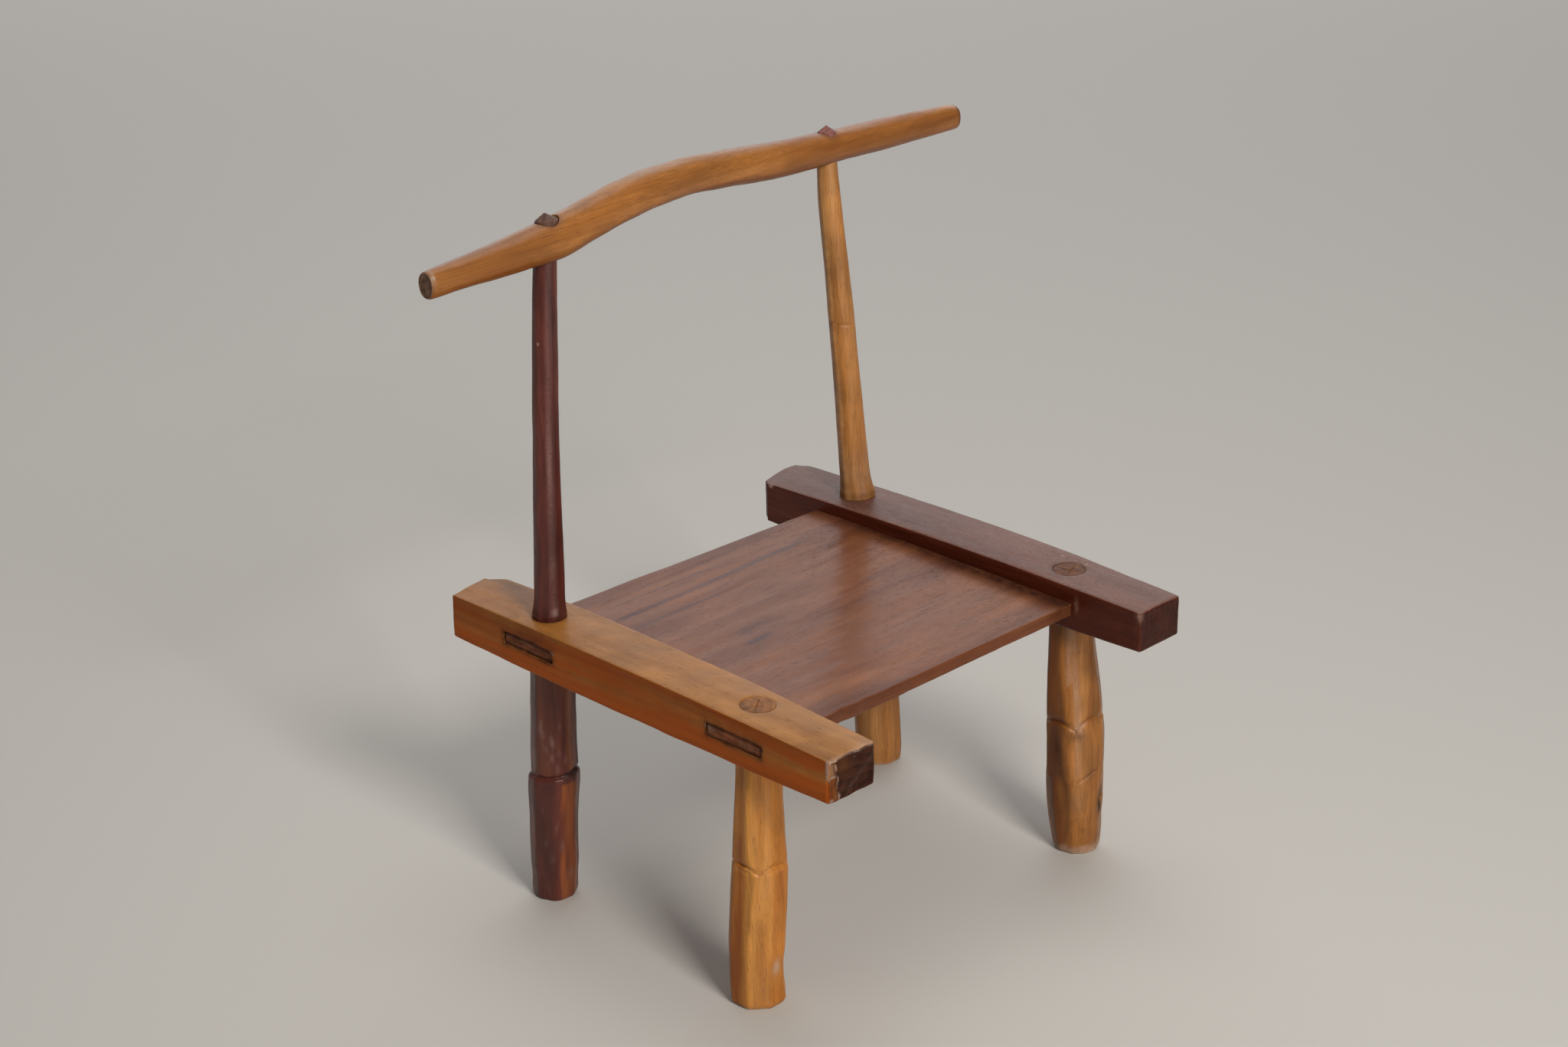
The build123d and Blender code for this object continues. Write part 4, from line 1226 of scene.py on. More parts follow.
def build_sticks():
    count = 150
    # left front leg
    upper = from_view(VIEW_LF, [
        (-50, 0.96, 1.0, 1.0), (-6, 1.07, 0.985, 0.985), (40, 0.95, 0.99, 1.0), (85, 1.04, 1.0, 1.0),
        (130, 0.96, 1.0, 1.0), (176, 1.06, 1.0, 1.0), (-140, 0.96, 1.0, 1.0), (-94, 1.04, 1.0, 1.0)])
    lower = from_view(VIEW_LF, [
        (-42, 1.0, 0.97, 0.95), (3, 0.97, 1.0, 1.09), (47, 1.0, 0.99, 0.96), (91, 1.0, 1.0, 1.05),
        (137, 1.0, 0.99, 0.96), (182, 0.99, 1.0, 1.06), (-133, 1.0, 0.98, 0.96), (-87, 1.0, 1.0, 1.05)])
    lf = front_leg(
        "left_front_leg", LEG_LF, [(0, 126.0, lower), (126.0, SHOULDER, upper)],
        [dict(z=128.4, at=VIEW_LF, tilt=-0.6, corners=(-4, 86, 176, -94), dip=4.6, dip_width=30.0, depth=1.9, side_depth=1.2, width=2.9, upper=1.7, lower=0.8)],
        TENON_LF, (1.2,), count, 201, [(35, 1.0, 0.5, 1.3, 12), (-60, -3.0, 0.35, 0.8, 7)],
        lambda x, y: on_arc(L_TOP, y),
    )
    # right front leg, with a second node half way down
    upper = from_view(VIEW_RF, [
        (-44, 0.95, 0.99, 1.0), (-1, 1.08, 0.985, 0.97), (41, 0.95, 1.0, 1.0), (86, 1.04, 1.0, 1.0),
        (131, 0.96, 1.0, 1.0), (178, 1.06, 1.0, 1.0), (-136, 0.96, 1.0, 1.0), (-90, 1.03, 1.0, 1.0)])
    middle = from_view(VIEW_RF, [
        (-46, 0.97, 0.97, 0.94), (-4, 1.12, 0.95, 1.12), (42, 0.96, 0.99, 0.94), (86, 1.04, 1.0, 1.03),
        (131, 1.0, 1.0, 0.96), (176, 1.05, 0.99, 1.05), (-136, 1.0, 1.0, 0.96), (-92, 1.03, 1.0, 1.04)])
    lower = from_view(VIEW_RF, [
        (-66, 1.0, 0.99, 1.0), (-27, 0.97, 0.97, 1.0), (6, 0.98, 0.99, 1.05), (38, 0.98, 0.97, 0.98), (76, 1.0, 0.97, 1.0),
        (122, 1.0, 0.99, 1.0), (165, 1.0, 0.99, 1.0), (-148, 1.0, 0.99, 1.0), (-108, 1.0, 0.99, 1.0)])
    rf = front_leg(
        "right_front_leg", LEG_RF, [(0, 72.0, lower), (72.0, 126.0, middle), (126.0, SHOULDER, upper)],
        [
            dict(z=129.8, at=VIEW_RF, tilt=2.6, corners=(1, 88, 178, -91), dip=6.4, dip_width=32.0, depth=2.2, side_depth=2.4, width=3.2, upper=1.8, lower=0.9),
            dict(z=73.0, at=VIEW_RF + 4, tilt=11.0, depth=1.5, width=2.8, window=(-5, 50), upper=1.7, lower=0.9),
            dict(z=49.0, at=VIEW_RF + 76, depth=2.6, width=8.5, window=(-18, 20)),
        ],
        TENON_RF, (7.0, 1.2), count, 221, [(20, -2.0, 0.45, 1.1, 10), (100, 2.0, 0.4, 0.9, 8)],
        lambda x, y: on_arc(R_TOP, y),
    )
    # left rear leg and post
    upper = from_view(VIEW_LR, [
        (-72, 1.0, 1.0, 1.0), (-34, 1.0, 1.0, 1.0), (-4, 1.02, 1.0, 1.0), (20, 1.0, 1.02, 1.02), (60, 0.98, 0.98, 0.98),
        (105, 1.0, 1.0, 1.0), (150, 1.0, 1.0, 1.0), (-163, 1.0, 1.0, 1.0), (-116, 1.0, 1.0, 1.0)])
    lower = from_view(VIEW_LR, [
        (-68, 0.99, 1.0, 1.0), (-27, 0.97, 0.96, 0.97), (9, 1.02, 1.02, 1.04), (36, 0.96, 0.97, 0.99), (76, 1.0, 1.0, 1.0),
        (122, 1.0, 1.0, 1.0), (165, 1.0, 1.0, 1.0), (-150, 1.0, 1.0, 1.0), (-108, 1.0, 1.0, 1.0)])
    post = from_view(VIEW_LR, [
        (-62, 1.0, 1.0, 1.0), (-22, 1.0, 0.99, 1.0), (16, 1.0, 0.98, 1.0), (55, 1.0, 1.0, 1.0), (98, 1.0, 1.0, 1.0),
        (142, 1.0, 1.0, 1.0), (-176, 1.0, 1.0, 1.0), (-138, 1.0, 1.0, 1.0), (-100, 1.0, 1.0, 1.0)])
    lr = rear_stick(
        "left_rear_leg_post", LEG_LR, [(0, 119.0, lower), (119.0, SHOULDER, upper)],
        [dict(z=120.3, at=VIEW_LR, tilt=2.2, corners=(9, 100), dip=0.6, dip_width=30.0, depth=2.0, side_depth=1.9, width=2.8, upper=1.3, lower=0.8)],
        TENON_LR, POST_L, post, 132, 241,
        {"apex": (-1.2, 1.2), "top": 605.9, "cuts": [(-95, 0.46, 0.2), (-160, 0.62, 0.2), (-40, 0.50, 0.5), (20, 0.85, 0.4), (65, 1.0, 0.3), (105, 0.95, 0.3), (140, 0.88, 0.2)]},
        [dict(z=501.0, at=-164.0, depth=0.5, width=1.6, window=(-14, 14)), dict(z=268.5, at=VIEW_LR - 60, depth=0.9, width=1.8, window=(-30, 22))],
    )
    # right rear leg and post
    leg = octagon(VIEW_RR - 4, 0.012, 5)
    post = from_view(VIEW_RR, [
        (-66, 1.0, 1.0, 1.0), (-24, 1.0, 1.0, 1.0), (17, 0.99, 0.97, 0.99), (58, 1.0, 1.0, 1.0), (100, 1.0, 1.0, 1.0),
        (142, 1.0, 1.0, 1.0), (-176, 1.0, 1.0, 1.0), (-142, 1.0, 1.0, 1.0), (-104, 1.0, 1.0, 1.0)])
    rr = rear_stick(
        "right_rear_leg_post", LEG_RR, [(0, 121.0, octagon(VIEW_RR + 6, 0.012, 6)), (121.0, SHOULDER, leg)],
        [dict(z=121.5, at=VIEW_RR, tilt=1.0, corners=(0, 90, 180, -90), dip=3.0, dip_width=30.0, depth=2.3, side_depth=1.6, width=2.5)],
        TENON_RR, POST_R, post, 132, 261,
        {"apex": (0.6, -0.6), "top": 603.6, "cuts": [(-105, 0.40, 0.2), (-165, 0.50, 0.2), (-42, 0.80, 0.4), (15, 0.9, 0.4), (65, 1.0, 0.3), (110, 0.9, 0.3), (140, 0.55, 0.3)]},
        [dict(z=427.0, at=VIEW_RR + 5, tilt=-1.0, depth=0.5, width=2.6, window=(-75, 80))],
    )
    return lf, rf, lr, rr


# =============================================================== materials
def materials():
    made = {}
    made["left_rail"] = wood(
        "left_rail_wood", "Y", (0.225, 0.086, 0.014), (0.350, 0.143, 0.027), (0.435, 0.197, 0.045), (0.28, 0.098, 0.014),
        (0.016, 0.004, 0.002), (0.052, 0.015, 0.007), (0.372, 0.073, 0.002), figure=40, ring_mm=8.0, pith=(0.27, 0.15),
        tilt=0.03, accent_amount=0.6, accent_scale=14.0, pale=(0.34, 0.21, 0.15), dust_and_sheen=(0.36, 0.24, 0.18), ribbon=0.10,
        ring_depth=0.22, fibre=0.16, worn_and_lit=(0.46, 0.25, 0.11), spec=0.12, rough=0.36, stain_and_shade=(0.045, 0.014, 0.006),
    )
    made["right_rail"] = wood(
        "right_rail_wood", "Y", (0.046, 0.008, 0.003), (0.078, 0.014, 0.006), (0.120, 0.029, 0.014), (0.105, 0.020, 0.007),
        (0.016, 0.004, 0.002), (0.044, 0.011, 0.006), (0.13, 0.026, 0.010), figure=50, ring_mm=6.0, pith=(-0.10, -0.15),
        tilt=0.03, accent_amount=0.5, pale=(0.32, 0.20, 0.15), dust_and_sheen=(0.30, 0.178, 0.136), ring_depth=0.22,
        worn_and_lit=(0.19, 0.075, 0.045), spec=0.20, rough=0.34,
    )
    made["seat"] = wood(
        "seat_wood", "X", (0.150, 0.047, 0.018), (0.222, 0.079, 0.030), (0.285, 0.112, 0.046), (0.130, 0.046, 0.033),
        (0.150, 0.042, 0.014), (0.330, 0.110, 0.045), (0.085, 0.035, 0.032), figure=30, ring_mm=14.0, pith=(0.02, 0.06),
        tilt=0.025, accent_amount=0.7, accent_scale=15.0, rough=0.26, pale=(0.36, 0.22, 0.16), wave=0.009,
        ring_depth=0.34, fibre=0.20, pores=0.38, worn_and_lit=(0.30, 0.13, 0.07), contrast=1.15, spec=0.13,
        stain_and_shade=(0.040, 0.011, 0.005),
    )
    made["leg"] = wood(
        "golden_leg_wood", "Z", (0.42, 0.145, 0.018), (0.54, 0.205, 0.032), (0.66, 0.300, 0.062), (0.42, 0.130, 0.014),
        (0.20, 0.075, 0.022), (0.36, 0.150, 0.048), (0.29, 0.072, 0.004), figure=50, ring_mm=6.5, pith=(0.19, 0.12),
        tilt=0.04, accent_amount=0.6, pale=(0.52, 0.34, 0.22), dust_and_sheen=(0.46, 0.33, 0.23), ring_depth=0.16, mottle=0.32,
        rough=0.40, worn_and_lit=(0.62, 0.34, 0.12), spec=0.30,
    )
    made["brown_leg"] = wood(
        "brown_leg_wood", "Z", (0.195, 0.066, 0.011), (0.345, 0.135, 0.030), (0.465, 0.208, 0.062), (0.235, 0.075, 0.011),
        (0.11, 0.036, 0.014), (0.23, 0.088, 0.036), (0.190, 0.052, 0.005), figure=46, ring_mm=6.5, pith=(0.19, 0.12),
        tilt=0.05, accent_amount=0.7, pale=(0.50, 0.34, 0.24), dust_and_sheen=(0.43, 0.285, 0.205), ring_depth=0.26, mottle=0.75,
        rough=0.38, worn_and_lit=(0.50, 0.27, 0.12), spec=0.32, stain_and_shade=(0.030, 0.010, 0.004),
    )
    made["left_post"] = wood(
        "red_stick_wood", "Z", (0.044, 0.009, 0.007), (0.090, 0.019, 0.014), (0.145, 0.038, 0.027), (0.115, 0.023, 0.011),
        (0.040, 0.016, 0.012), (0.170, 0.080, 0.052), (0.255, 0.068, 0.018), figure=60, ring_mm=6.0, pith=(0.185, -0.12),
        tilt=0.03, accent_amount=0.5, pale=(0.34, 0.20, 0.15), dust_and_sheen=(0.26, 0.15, 0.13), ring_depth=0.25, mottle=0.6,
        rough=0.36, worn_and_lit=(0.20, 0.065, 0.04), spec=0.42,
    )
    made["right_post"] = wood(
        "golden_stick_wood", "Z", (0.285, 0.103, 0.018), (0.425, 0.176, 0.042), (0.530, 0.252, 0.078), (0.33, 0.115, 0.018),
        (0.150, 0.045, 0.038), (0.330, 0.130, 0.105), (0.265, 0.082, 0.012), figure=60, ring_mm=5.0, pith=(-0.15, -0.12),
        tilt=0.03, accent_amount=0.6, pale=(0.50, 0.34, 0.23), ring_depth=0.25, mottle=0.6, rough=0.42,
        worn_and_lit=(0.78, 0.44, 0.17), spec=0.45,
    )
    made["crest"] = wood(
        "crest_wood", "X", (0.232, 0.081, 0.014), (0.345, 0.131, 0.027), (0.440, 0.188, 0.052), (0.240, 0.080, 0.013),
        (0.090, 0.040, 0.024), (0.290, 0.145, 0.085), (0.205, 0.062, 0.009), figure=50, ring_mm=7.0, pith=(-0.56, -0.10),
        tilt=0.05, accent_amount=0.6, pale=(0.42, 0.28, 0.19), ring_depth=0.18, mottle=0.42, worn_and_lit=(0.42, 0.22, 0.09),
        spec=0.45, rough=0.38,
    )
    return made


def common_fields(obj, reach):
    h = relief(obj, reach)
    return smooth((h - 0.16) / 0.5), smooth((-h - 0.10) / 0.45)


def blob(p, at, size):
    """1 at a point, falling away over that many mm in x, y and z."""
    q = (p - np.array(at)) / np.array(size, float)
    return np.exp(-(q**2).sum(1))


def on_stick(table, z, bearing, out=1.0):
    x, y, r = curve(table)(np.array([float(z)]))
    a = math.radians(bearing)
    return (float(x[0] + out * r[0] * math.cos(a)), float(y[0] + out * r[0] * math.sin(a)), z)


def bearing_of(p, table):
    """Bearing of each point round the stick's own middle line, in degrees."""
    x, y, _ = curve(table)(p[:, 2])
    return np.degrees(np.arctan2(p[:, 1] - y, p[:, 0] - x))


def sector(deg, middle, half, soft=14.0):
    gap = np.abs((deg - middle + 180) % 360 - 180)
    return smooth((half - gap) / soft + 0.5)


def dress_left_rail(p, n, f):
    outer = smooth((-n[:, 0] - 0.5) / 0.3)
    top = smooth((n[:, 2] - 0.6) / 0.3)
    near = smooth((-217.5 - p[:, 1]) / 1.5)
    split = near * smooth((-210.6 - p[:, 0] + 0.4 * noise(p, (4, 4, 6), 155)) / 0.9) * smooth((-n[:, 1] - 0.35) / 0.25)
    upper = smooth((p[:, 2] - 245.0) / 1.2)
    f["endgrain"] = (p[:, 1] < -212) * smooth((-n[:, 1] - 0.55) / 0.2) + (p[:, 1] > 205) * smooth((n[:, 1] - 0.72) / 0.15)
    # redder heartwood along the foot of the outer side
    low = smooth((240 + 4 * noise(p, (60, 60, 20), 401) - p[:, 2]) / 8) * outer
    f["tint_and_shade"] = outer * (0.70 + 0.22 * noise(p, (60, 80, 9), 402)) + 0.2 * low + 0.5 * smooth((-n[:, 2] - 0.5) / 0.3)
    f["stain_and_shade"] += 0.08 * outer * smooth(noise(p, (40, 46, 12), 407) * 2.0) + 0.05 * low
    # painted reflection: a paler sheen along the inner half of the top, and a little over all of it
    painted_reflection = smooth((p[:, 0] + 196) / 16) * (0.7 + 0.5 * noise(p, (20, 60, 20), 410))
    f["dust_and_sheen"] += top * (0.26 * painted_reflection + 0.08)
    for tenon in (TENON_LF, TENON_LR):
        ring = np.hypot(p[:, 0] - tenon[1][1], p[:, 1] - tenon[1][2]) - tenon[1][3]
        f["wear_and_light"] *= 1 - bell(np.maximum(ring, 0), 3.0)
        f["stain_and_shade"] += 0.20 * bell(ring, 1.3) + 0.25 * bell(ring, 2.5) * smooth((-(p[:, 0] - tenon[1][1]) - 4) / 8)
    # painted shade and grime round the slot mouths on the outer face and on the slot walls, standing in for the dark of
    # a deep gap
    for y0, y1 in L_TENONS:
        slot = bell(np.maximum(np.abs(p[:, 1] - (y0 + y1) / 2) - (y1 - y0) / 2, 0), 5) * bell(np.maximum(np.abs(p[:, 2] - 244.5) - 5.5, 0), 3.5)
        mid = seat_top(p[:, 0], p[:, 1]) - SEAT_T / 2
        away = np.hypot(
            np.maximum(np.abs(p[:, 1] - (y0 + y1) / 2) - (y1 - y0) / 2 - 1.0, 0),
            np.maximum(np.abs(p[:, 2] - mid) - 5.7, 0))
        gap_shade_and_grime = 0.62 * bell(away, 1.5) * (0.8 + 0.5 * noise(p, (4, 6, 3), 411)) + 0.30 * bell(away, 5) * (0.7 + 0.7 * noise(p, (9, 12, 5), 412))
        f["stain_and_shade"] += (p[:, 0] < -150) * (gap_shade_and_grime * outer + 0.8 * slot * (np.abs(n[:, 0]) < 0.6))
        f["wear_and_light"] *= 1 - 0.9 * slot
        f["hollow_dirt_and_shade"] *= 1 - 0.6 * slot * outer
    # smear above the rear slot
    f["stain_and_shade"] += 0.42 * outer * bell(p[:, 1] - 118, 26) * smooth((p[:, 2] - 246) / 5) * (0.6 + 0.5 * noise(p, (9, 12, 5), 403))
    f["chip"] += 0.9 * blob(p, (-216, 91.6, 248.4), (5, 2.6, 2.3)) + 0.5 * blob(p, (-217, -88.2, 245.6), (4, 1.8, 3.4))
    f["dust_and_sheen"] += 0.8 * blob(p, (-217.5, -135, 245), (4, 2.6, 2.2)) + 0.7 * blob(p, (-217.8, -144, 243.4), (4, 2.4, 2.0))
    # the split front outer corner: browner wood, with pale torn lines beside it
    q = noise(p, (3, 3, 5), 404)
    f["endgrain"] *= 1 - split * (0.55 * upper + 0.45 * (1 - upper))
    f["tint_and_shade"] += split * (0.15 * upper + 0.60 * (1 - upper))
    f["stain_and_shade"] += near * (1 - upper) * smooth((-209.6 - p[:, 0]) / 1.0) * smooth((-n[:, 1] - 0.25) / 0.25) * (0.40 + 0.2 * q)
    f["dust_and_sheen"] += 0.50 * split * upper * (0.8 + 0.4 * noise(p, (5, 5, 5), 406))
    gaps = 0.84 + 0.40 * noise(p, (6, 6, 4), 408)
    f["chip"] += near * upper * (0.84 * bell(p[:, 0] + 219.2 + 0.5 * q, 0.8) + 0.82 * bell(p[:, 0] + 210.6 + 0.5 * q, 0.7) * smooth((258 - p[:, 2]) / 3)) * gaps
    f["chip"] += near * (1 - upper) * (0.88 * bell(p[:, 0] + 209.6 + 0.4 * q, 0.8)) * gaps
    f["chip"] += 0.85 * split * bell(p[:, 2] - 245 + 0.4 * q, 0.9) + 0.8 * blob(p, (-216.5, -222.0, 227.0), (2.0, 3, 2.4))
    # a browner corner at the top of the sawn end, and a paler streak along its ridge
    f["endgrain"] *= 1 - 0.12 * near * blob(p, (-203, -223, 253), (7, 20, 7))
    across = (p[:, 2] - 243) * 0.80 - (p[:, 0] + 191) * 0.60
    f["dust_and_sheen"] += 0.10 * near * f["endgrain"] * bell(across + 4.5, 3.0) * smooth((p[:, 0] + 205) / 10)
    lip = smooth((p[:, 2] - 257.5) / 2.5) * smooth((-217.5 - p[:, 1]) / 3)
    f["dust_and_sheen"] += 0.55 * lip * (0.7 + 0.5 * noise(p, (5, 5, 5), 405))
    f["chip"] += 0.5 * blob(p, (-192.0, -222.6, 255.5), (1.3, 3, 1.1))


def dress_right_rail(p, n, f):
    f["endgrain"] = 0.8 * (p[:, 1] < -215) * smooth((-n[:, 1] - 0.72) / 0.15) + (p[:, 1] > 198) * smooth((n[:, 1] - 0.72) / 0.15)
    inner = smooth((-n[:, 0] - 0.5) / 0.3)
    top = smooth((n[:, 2] - 0.6) / 0.3)
    f["tint_and_shade"] = 0.45 * smooth((p[:, 2] - 258) / 4) * (0.5 + 0.5 * noise(p, (30, 60, 30), 411))
    # painted reflection: the top paler all along
    f["dust_and_sheen"] += top * (0.50 + 0.18 * noise(p, (30, 80, 30), 413))
    for tenon in (TENON_RF, TENON_RR):
        ring = np.hypot(p[:, 0] - tenon[1][1], p[:, 1] - tenon[1][2]) - tenon[1][3]
        f["wear_and_light"] *= 1 - bell(np.maximum(ring, 0), 3.0)
        f["stain_and_shade"] += 0.12 * bell(ring, 1.3)
    # painted shade and grime on the slot walls and round their mouths on the outer face
    for y0, y1 in R_TENONS:
        high = np.abs(p[:, 2] - seat_top(p[:, 0], p[:, 1]) + SEAT_T / 2)
        slot = bell(np.maximum(np.abs(p[:, 1] - (y0 + y1) / 2) - (y1 - y0) / 2, 0), 5) * bell(np.maximum(high - 5.5, 0), 3.5)
        f["stain_and_shade"] += slot * (0.25 * smooth((n[:, 0] - 0.5) / 0.3) + 0.7 * (np.abs(n[:, 0]) < 0.6) * (high < 8))
        f["wear_and_light"] *= 1 - 0.9 * slot
    rim = bell(np.hypot(p[:, 0] - 169, p[:, 1] + 125) - 14.5, 2.0) * smooth((n[:, 2] - 0.4) / 0.3)
    f["stain_and_shade"] += 0.4 * rim
    f["dust_and_sheen"] += 0.35 * rim * smooth((p[:, 0] - 165) / 8)
    f["chip"] += 0.8 * blob(p, (184, -129.5, 263.5), (4.5, 3.0, 3)) + 0.7 * blob(p, (185.5, -104, 263.5), (2.6, 3.4, 3))
    f["chip"] += 0.7 * blob(p, (186.0, -118, 263.5), (1.4, 2.2, 3)) + 0.6 * blob(p, (164.5, -141, 263.5), (2.0, 1.6, 3))
    f["dust_and_sheen"] += 0.75 * blob(p, (140.8, -156.6, 248.0), (3, 2.2, 6.4)) * (0.85 + 0.4 * noise(p, (3, 3, 3), 414))
    f["chip"] += 0.8 * blob(p, (137.5, 195, 260), (3, 3.4, 3))
    f["dust_and_sheen"] += 0.7 * blob(p, (140.5, -224, 258.5), (4, 4, 4))
    f["dust_and_sheen"] += 0.2 * inner * smooth((-215 - p[:, 1]) / 6) * (0.5 + 0.5 * noise(p, (6, 6, 6), 412))


def dress_seat(p, n, f):
    out = (p[:, 0] < -205) | (p[:, 0] > 180)
    f["endgrain"] = smooth((np.abs(n[:, 0]) - 0.6) / 0.2) * out
    top = smooth((n[:, 2] - 0.5) / 0.3)
    # dark smoke round a small knot
    wisp = bell(p[:, 0] + 79 + 0.35 * (p[:, 1] + 5), 15) * bell(p[:, 1] + 6, 20)
    smoke = wisp * (0.55 + 0.75 * noise(p, (26, 7, 60), 421))
    smoke += 0.6 * bell(p[:, 0] + 62, 20) * bell(p[:, 1] - 9, 4.5) + 0.8 * bell(p[:, 0] + 88, 13) * bell(p[:, 1] + 13, 4.5)
    f["tint_and_shade"] = top * np.clip(0.72 * smoke, 0, 0.8)
    # darker streaks towards the back edge
    for y, wide, x0, x1, k in ((118, 2.6, -160, 60, 0.5), (98, 4.0, -160, 110, 0.55), (74, 3.0, -160, 20, 0.45), (131, 2.0, -90, 90, 0.35)):
        line = y + 3.5 * noise(np.stack([p[:, 0], 0 * p[:, 1], 0 * p[:, 2]], 1), (90, 9, 9), 430 + int(y))
        span = smooth((p[:, 0] - x0) / 40) * smooth((x1 - p[:, 0]) / 50)
        f["tint_and_shade"] += top * 1.25 * k * bell(p[:, 1] - line, wide) * span
    f["wear_and_light"] *= 0.55
    # painted shade and painted reflection of the dark rail: a dark band across the top next to the right rail
    rail_shadow_and_reflection = 0.06 * smooth((p[:, 0] - 104) / 30) + 0.56 * smooth((p[:, 0] - 116) / 17) + 0.45 * smooth((p[:, 0] - 129) / 8)
    f["stain_and_shade"] += top * rail_shadow_and_reflection * (0.8 + 0.4 * noise(p, (30, 60, 30), 424))
    front = smooth((-n[:, 1] - 0.5) / 0.3)
    f["stain_and_shade"] += (0.20 + 0.08 * smooth((-85 - p[:, 0]) / 30) + 0.10 * noise(p, (22, 9, 9), 426) + 0.50 * smooth((p[:, 0] - 106) / 24)) * front
    # painted shade round the rims of the tenon ends, where the gap to the slot is dark, with dark finish gathered there
    # too
    for x_end, y0, y1, more in (
        (-217, *L_TENONS[0], 0.22), (-215, *L_TENONS[1], 0.46), (196, *R_TENONS[0], 0.5), (197, *R_TENONS[1], 0.5)):
        there = (np.abs(p[:, 0] - x_end) < 9) * (p[:, 1] > y0 - 2) * (p[:, 1] < y1 + 2)
        rim_z = smooth((np.abs(p[:, 2] - seat_top(p[:, 0], p[:, 1]) + SEAT_T / 2) - 1.6) / 3.2)
        rim_y = smooth((np.abs(p[:, 1] - (y0 + y1) / 2) - (y1 - y0) / 2 + 3.5) / 3.0)
        f["stain_and_shade"] += there * (0.75 * np.maximum(rim_z, rim_y) + more * (0.7 + 0.5 * noise(p, (8, 9, 3), 425)))


    # pale bruises and a chip on the tenon ends through the light rail
    pale = 0.8 + 0.5 * noise(p, (4, 4, 4), 427)
    f["chip"] += 0.85 * blob(p, (-216, 93.8, 248.6), (6, 2.6, 2.3)) + 0.70 * blob(p, (-217, -92.6, 246.6), (6, 2.6, 1.9)) * pale
    f["dust_and_sheen"] += (0.75 * blob(p, (-217, -95.0, 245.6), (6, 5.0, 2.6)) + 0.50 * blob(p, (-217, -137, 243.4), (6, 13, 1.4))) * pale
    f["dust_and_sheen"] += 0.30 * blob(p, (-216, 118, 246.0), (6, 14, 1.4)) * pale


def dress_crest(p, n, f):
    f["endgrain"] = smooth((np.abs(n[:, 0]) - 0.70) / 0.15) * (np.abs(p[:, 0]) > 298)
    # painted shade: the underside darker, most under the middle
    under = smooth((-n[:, 2] - 0.15) / 0.6)
    f["tint_and_shade"] = 0.55 * under * (0.7 + 0.4 * noise(p, (50, 12, 12), 441)) + 0.5 * bell(p[:, 0] - 20, 60) * under
    f["tint_and_shade"] += 0.30 * smooth((-150 - p[:, 0]) / 60) + 0.15 + 0.42 * smooth((p[:, 0] - 30) / 80)
    # painted highlight along the top near the hump
    ridge = smooth((n[:, 2] - 0.82) / 0.15) * bell(p[:, 0] + 60, 60)
    f["dust_and_sheen"] += 0.35 * ridge
    f["chip"] += 0.85 * blob(p, (-306.1, 99.3, 586.3), (2.2, 2.6, 2.2)) + 0.22 * blob(p, (-308.0, 97.8, 579.0), (1.0, 1.6, 4.0))
    f["dust_and_sheen"] += 0.3 * (p[:, 0] < -304.5) * smooth((n[:, 2] + 0.2) / 0.5)
    f["stain_and_shade"] += 0.50 * smooth((p[:, 0] - 304.5 - 1.2 * noise(p, (4, 4, 4), 443)) / 3.0) + 0.25 * smooth((-305.8 - p[:, 0]) / 1.5)
    # painted highlight over the upward faces
    f["dust_and_sheen"] += 0.20 * smooth((n[:, 2] - 0.55) / 0.35) * (0.7 + 0.5 * noise(p, (40, 9, 9), 444))
    for table, z in ((POST_L, 599.0), (POST_R, 597.0)):
        x, y, _ = on_stick(table, z, 0, 0.0)
        gap = np.hypot(p[:, 0] - x, p[:, 1] - y)
        f["stain_and_shade"] += 0.35 * bell(np.maximum(gap - 9.5, 0), 3.0) * smooth((n[:, 2] - 0.2) / 0.4)
        f["wear_and_light"] *= 1 - 0.8 * bell(np.maximum(gap - 9.5, 0), 3.0)


def dress_leg(p, n, f, table, view, front):
    top = p[:, 2] > 255
    f["endgrain"] = (p[:, 2] > 259.5) * np.ones(len(p)) + (p[:, 2] < 3) * smooth((-n[:, 2] - 0.7) / 0.2)
    deg = bearing_of(p, table) - view
    body = p[:, 2] < 225
    # painted shade: deeper colour down the side away from the light, and clouds of tint all round
    f["tint_and_shade"] = body * (0.48 * sector(deg, -72, 38, 30) + 0.24 * np.maximum(0, noise(p, (14, 14, 34), 451)))
    f["dust_and_sheen"] += 0.55 * smooth((3.0 + 1.2 * noise(p, (5, 5, 5), 452) - p[:, 2]) / 2.5)
    f["wear_and_light"] *= 1 - 0.8 * top


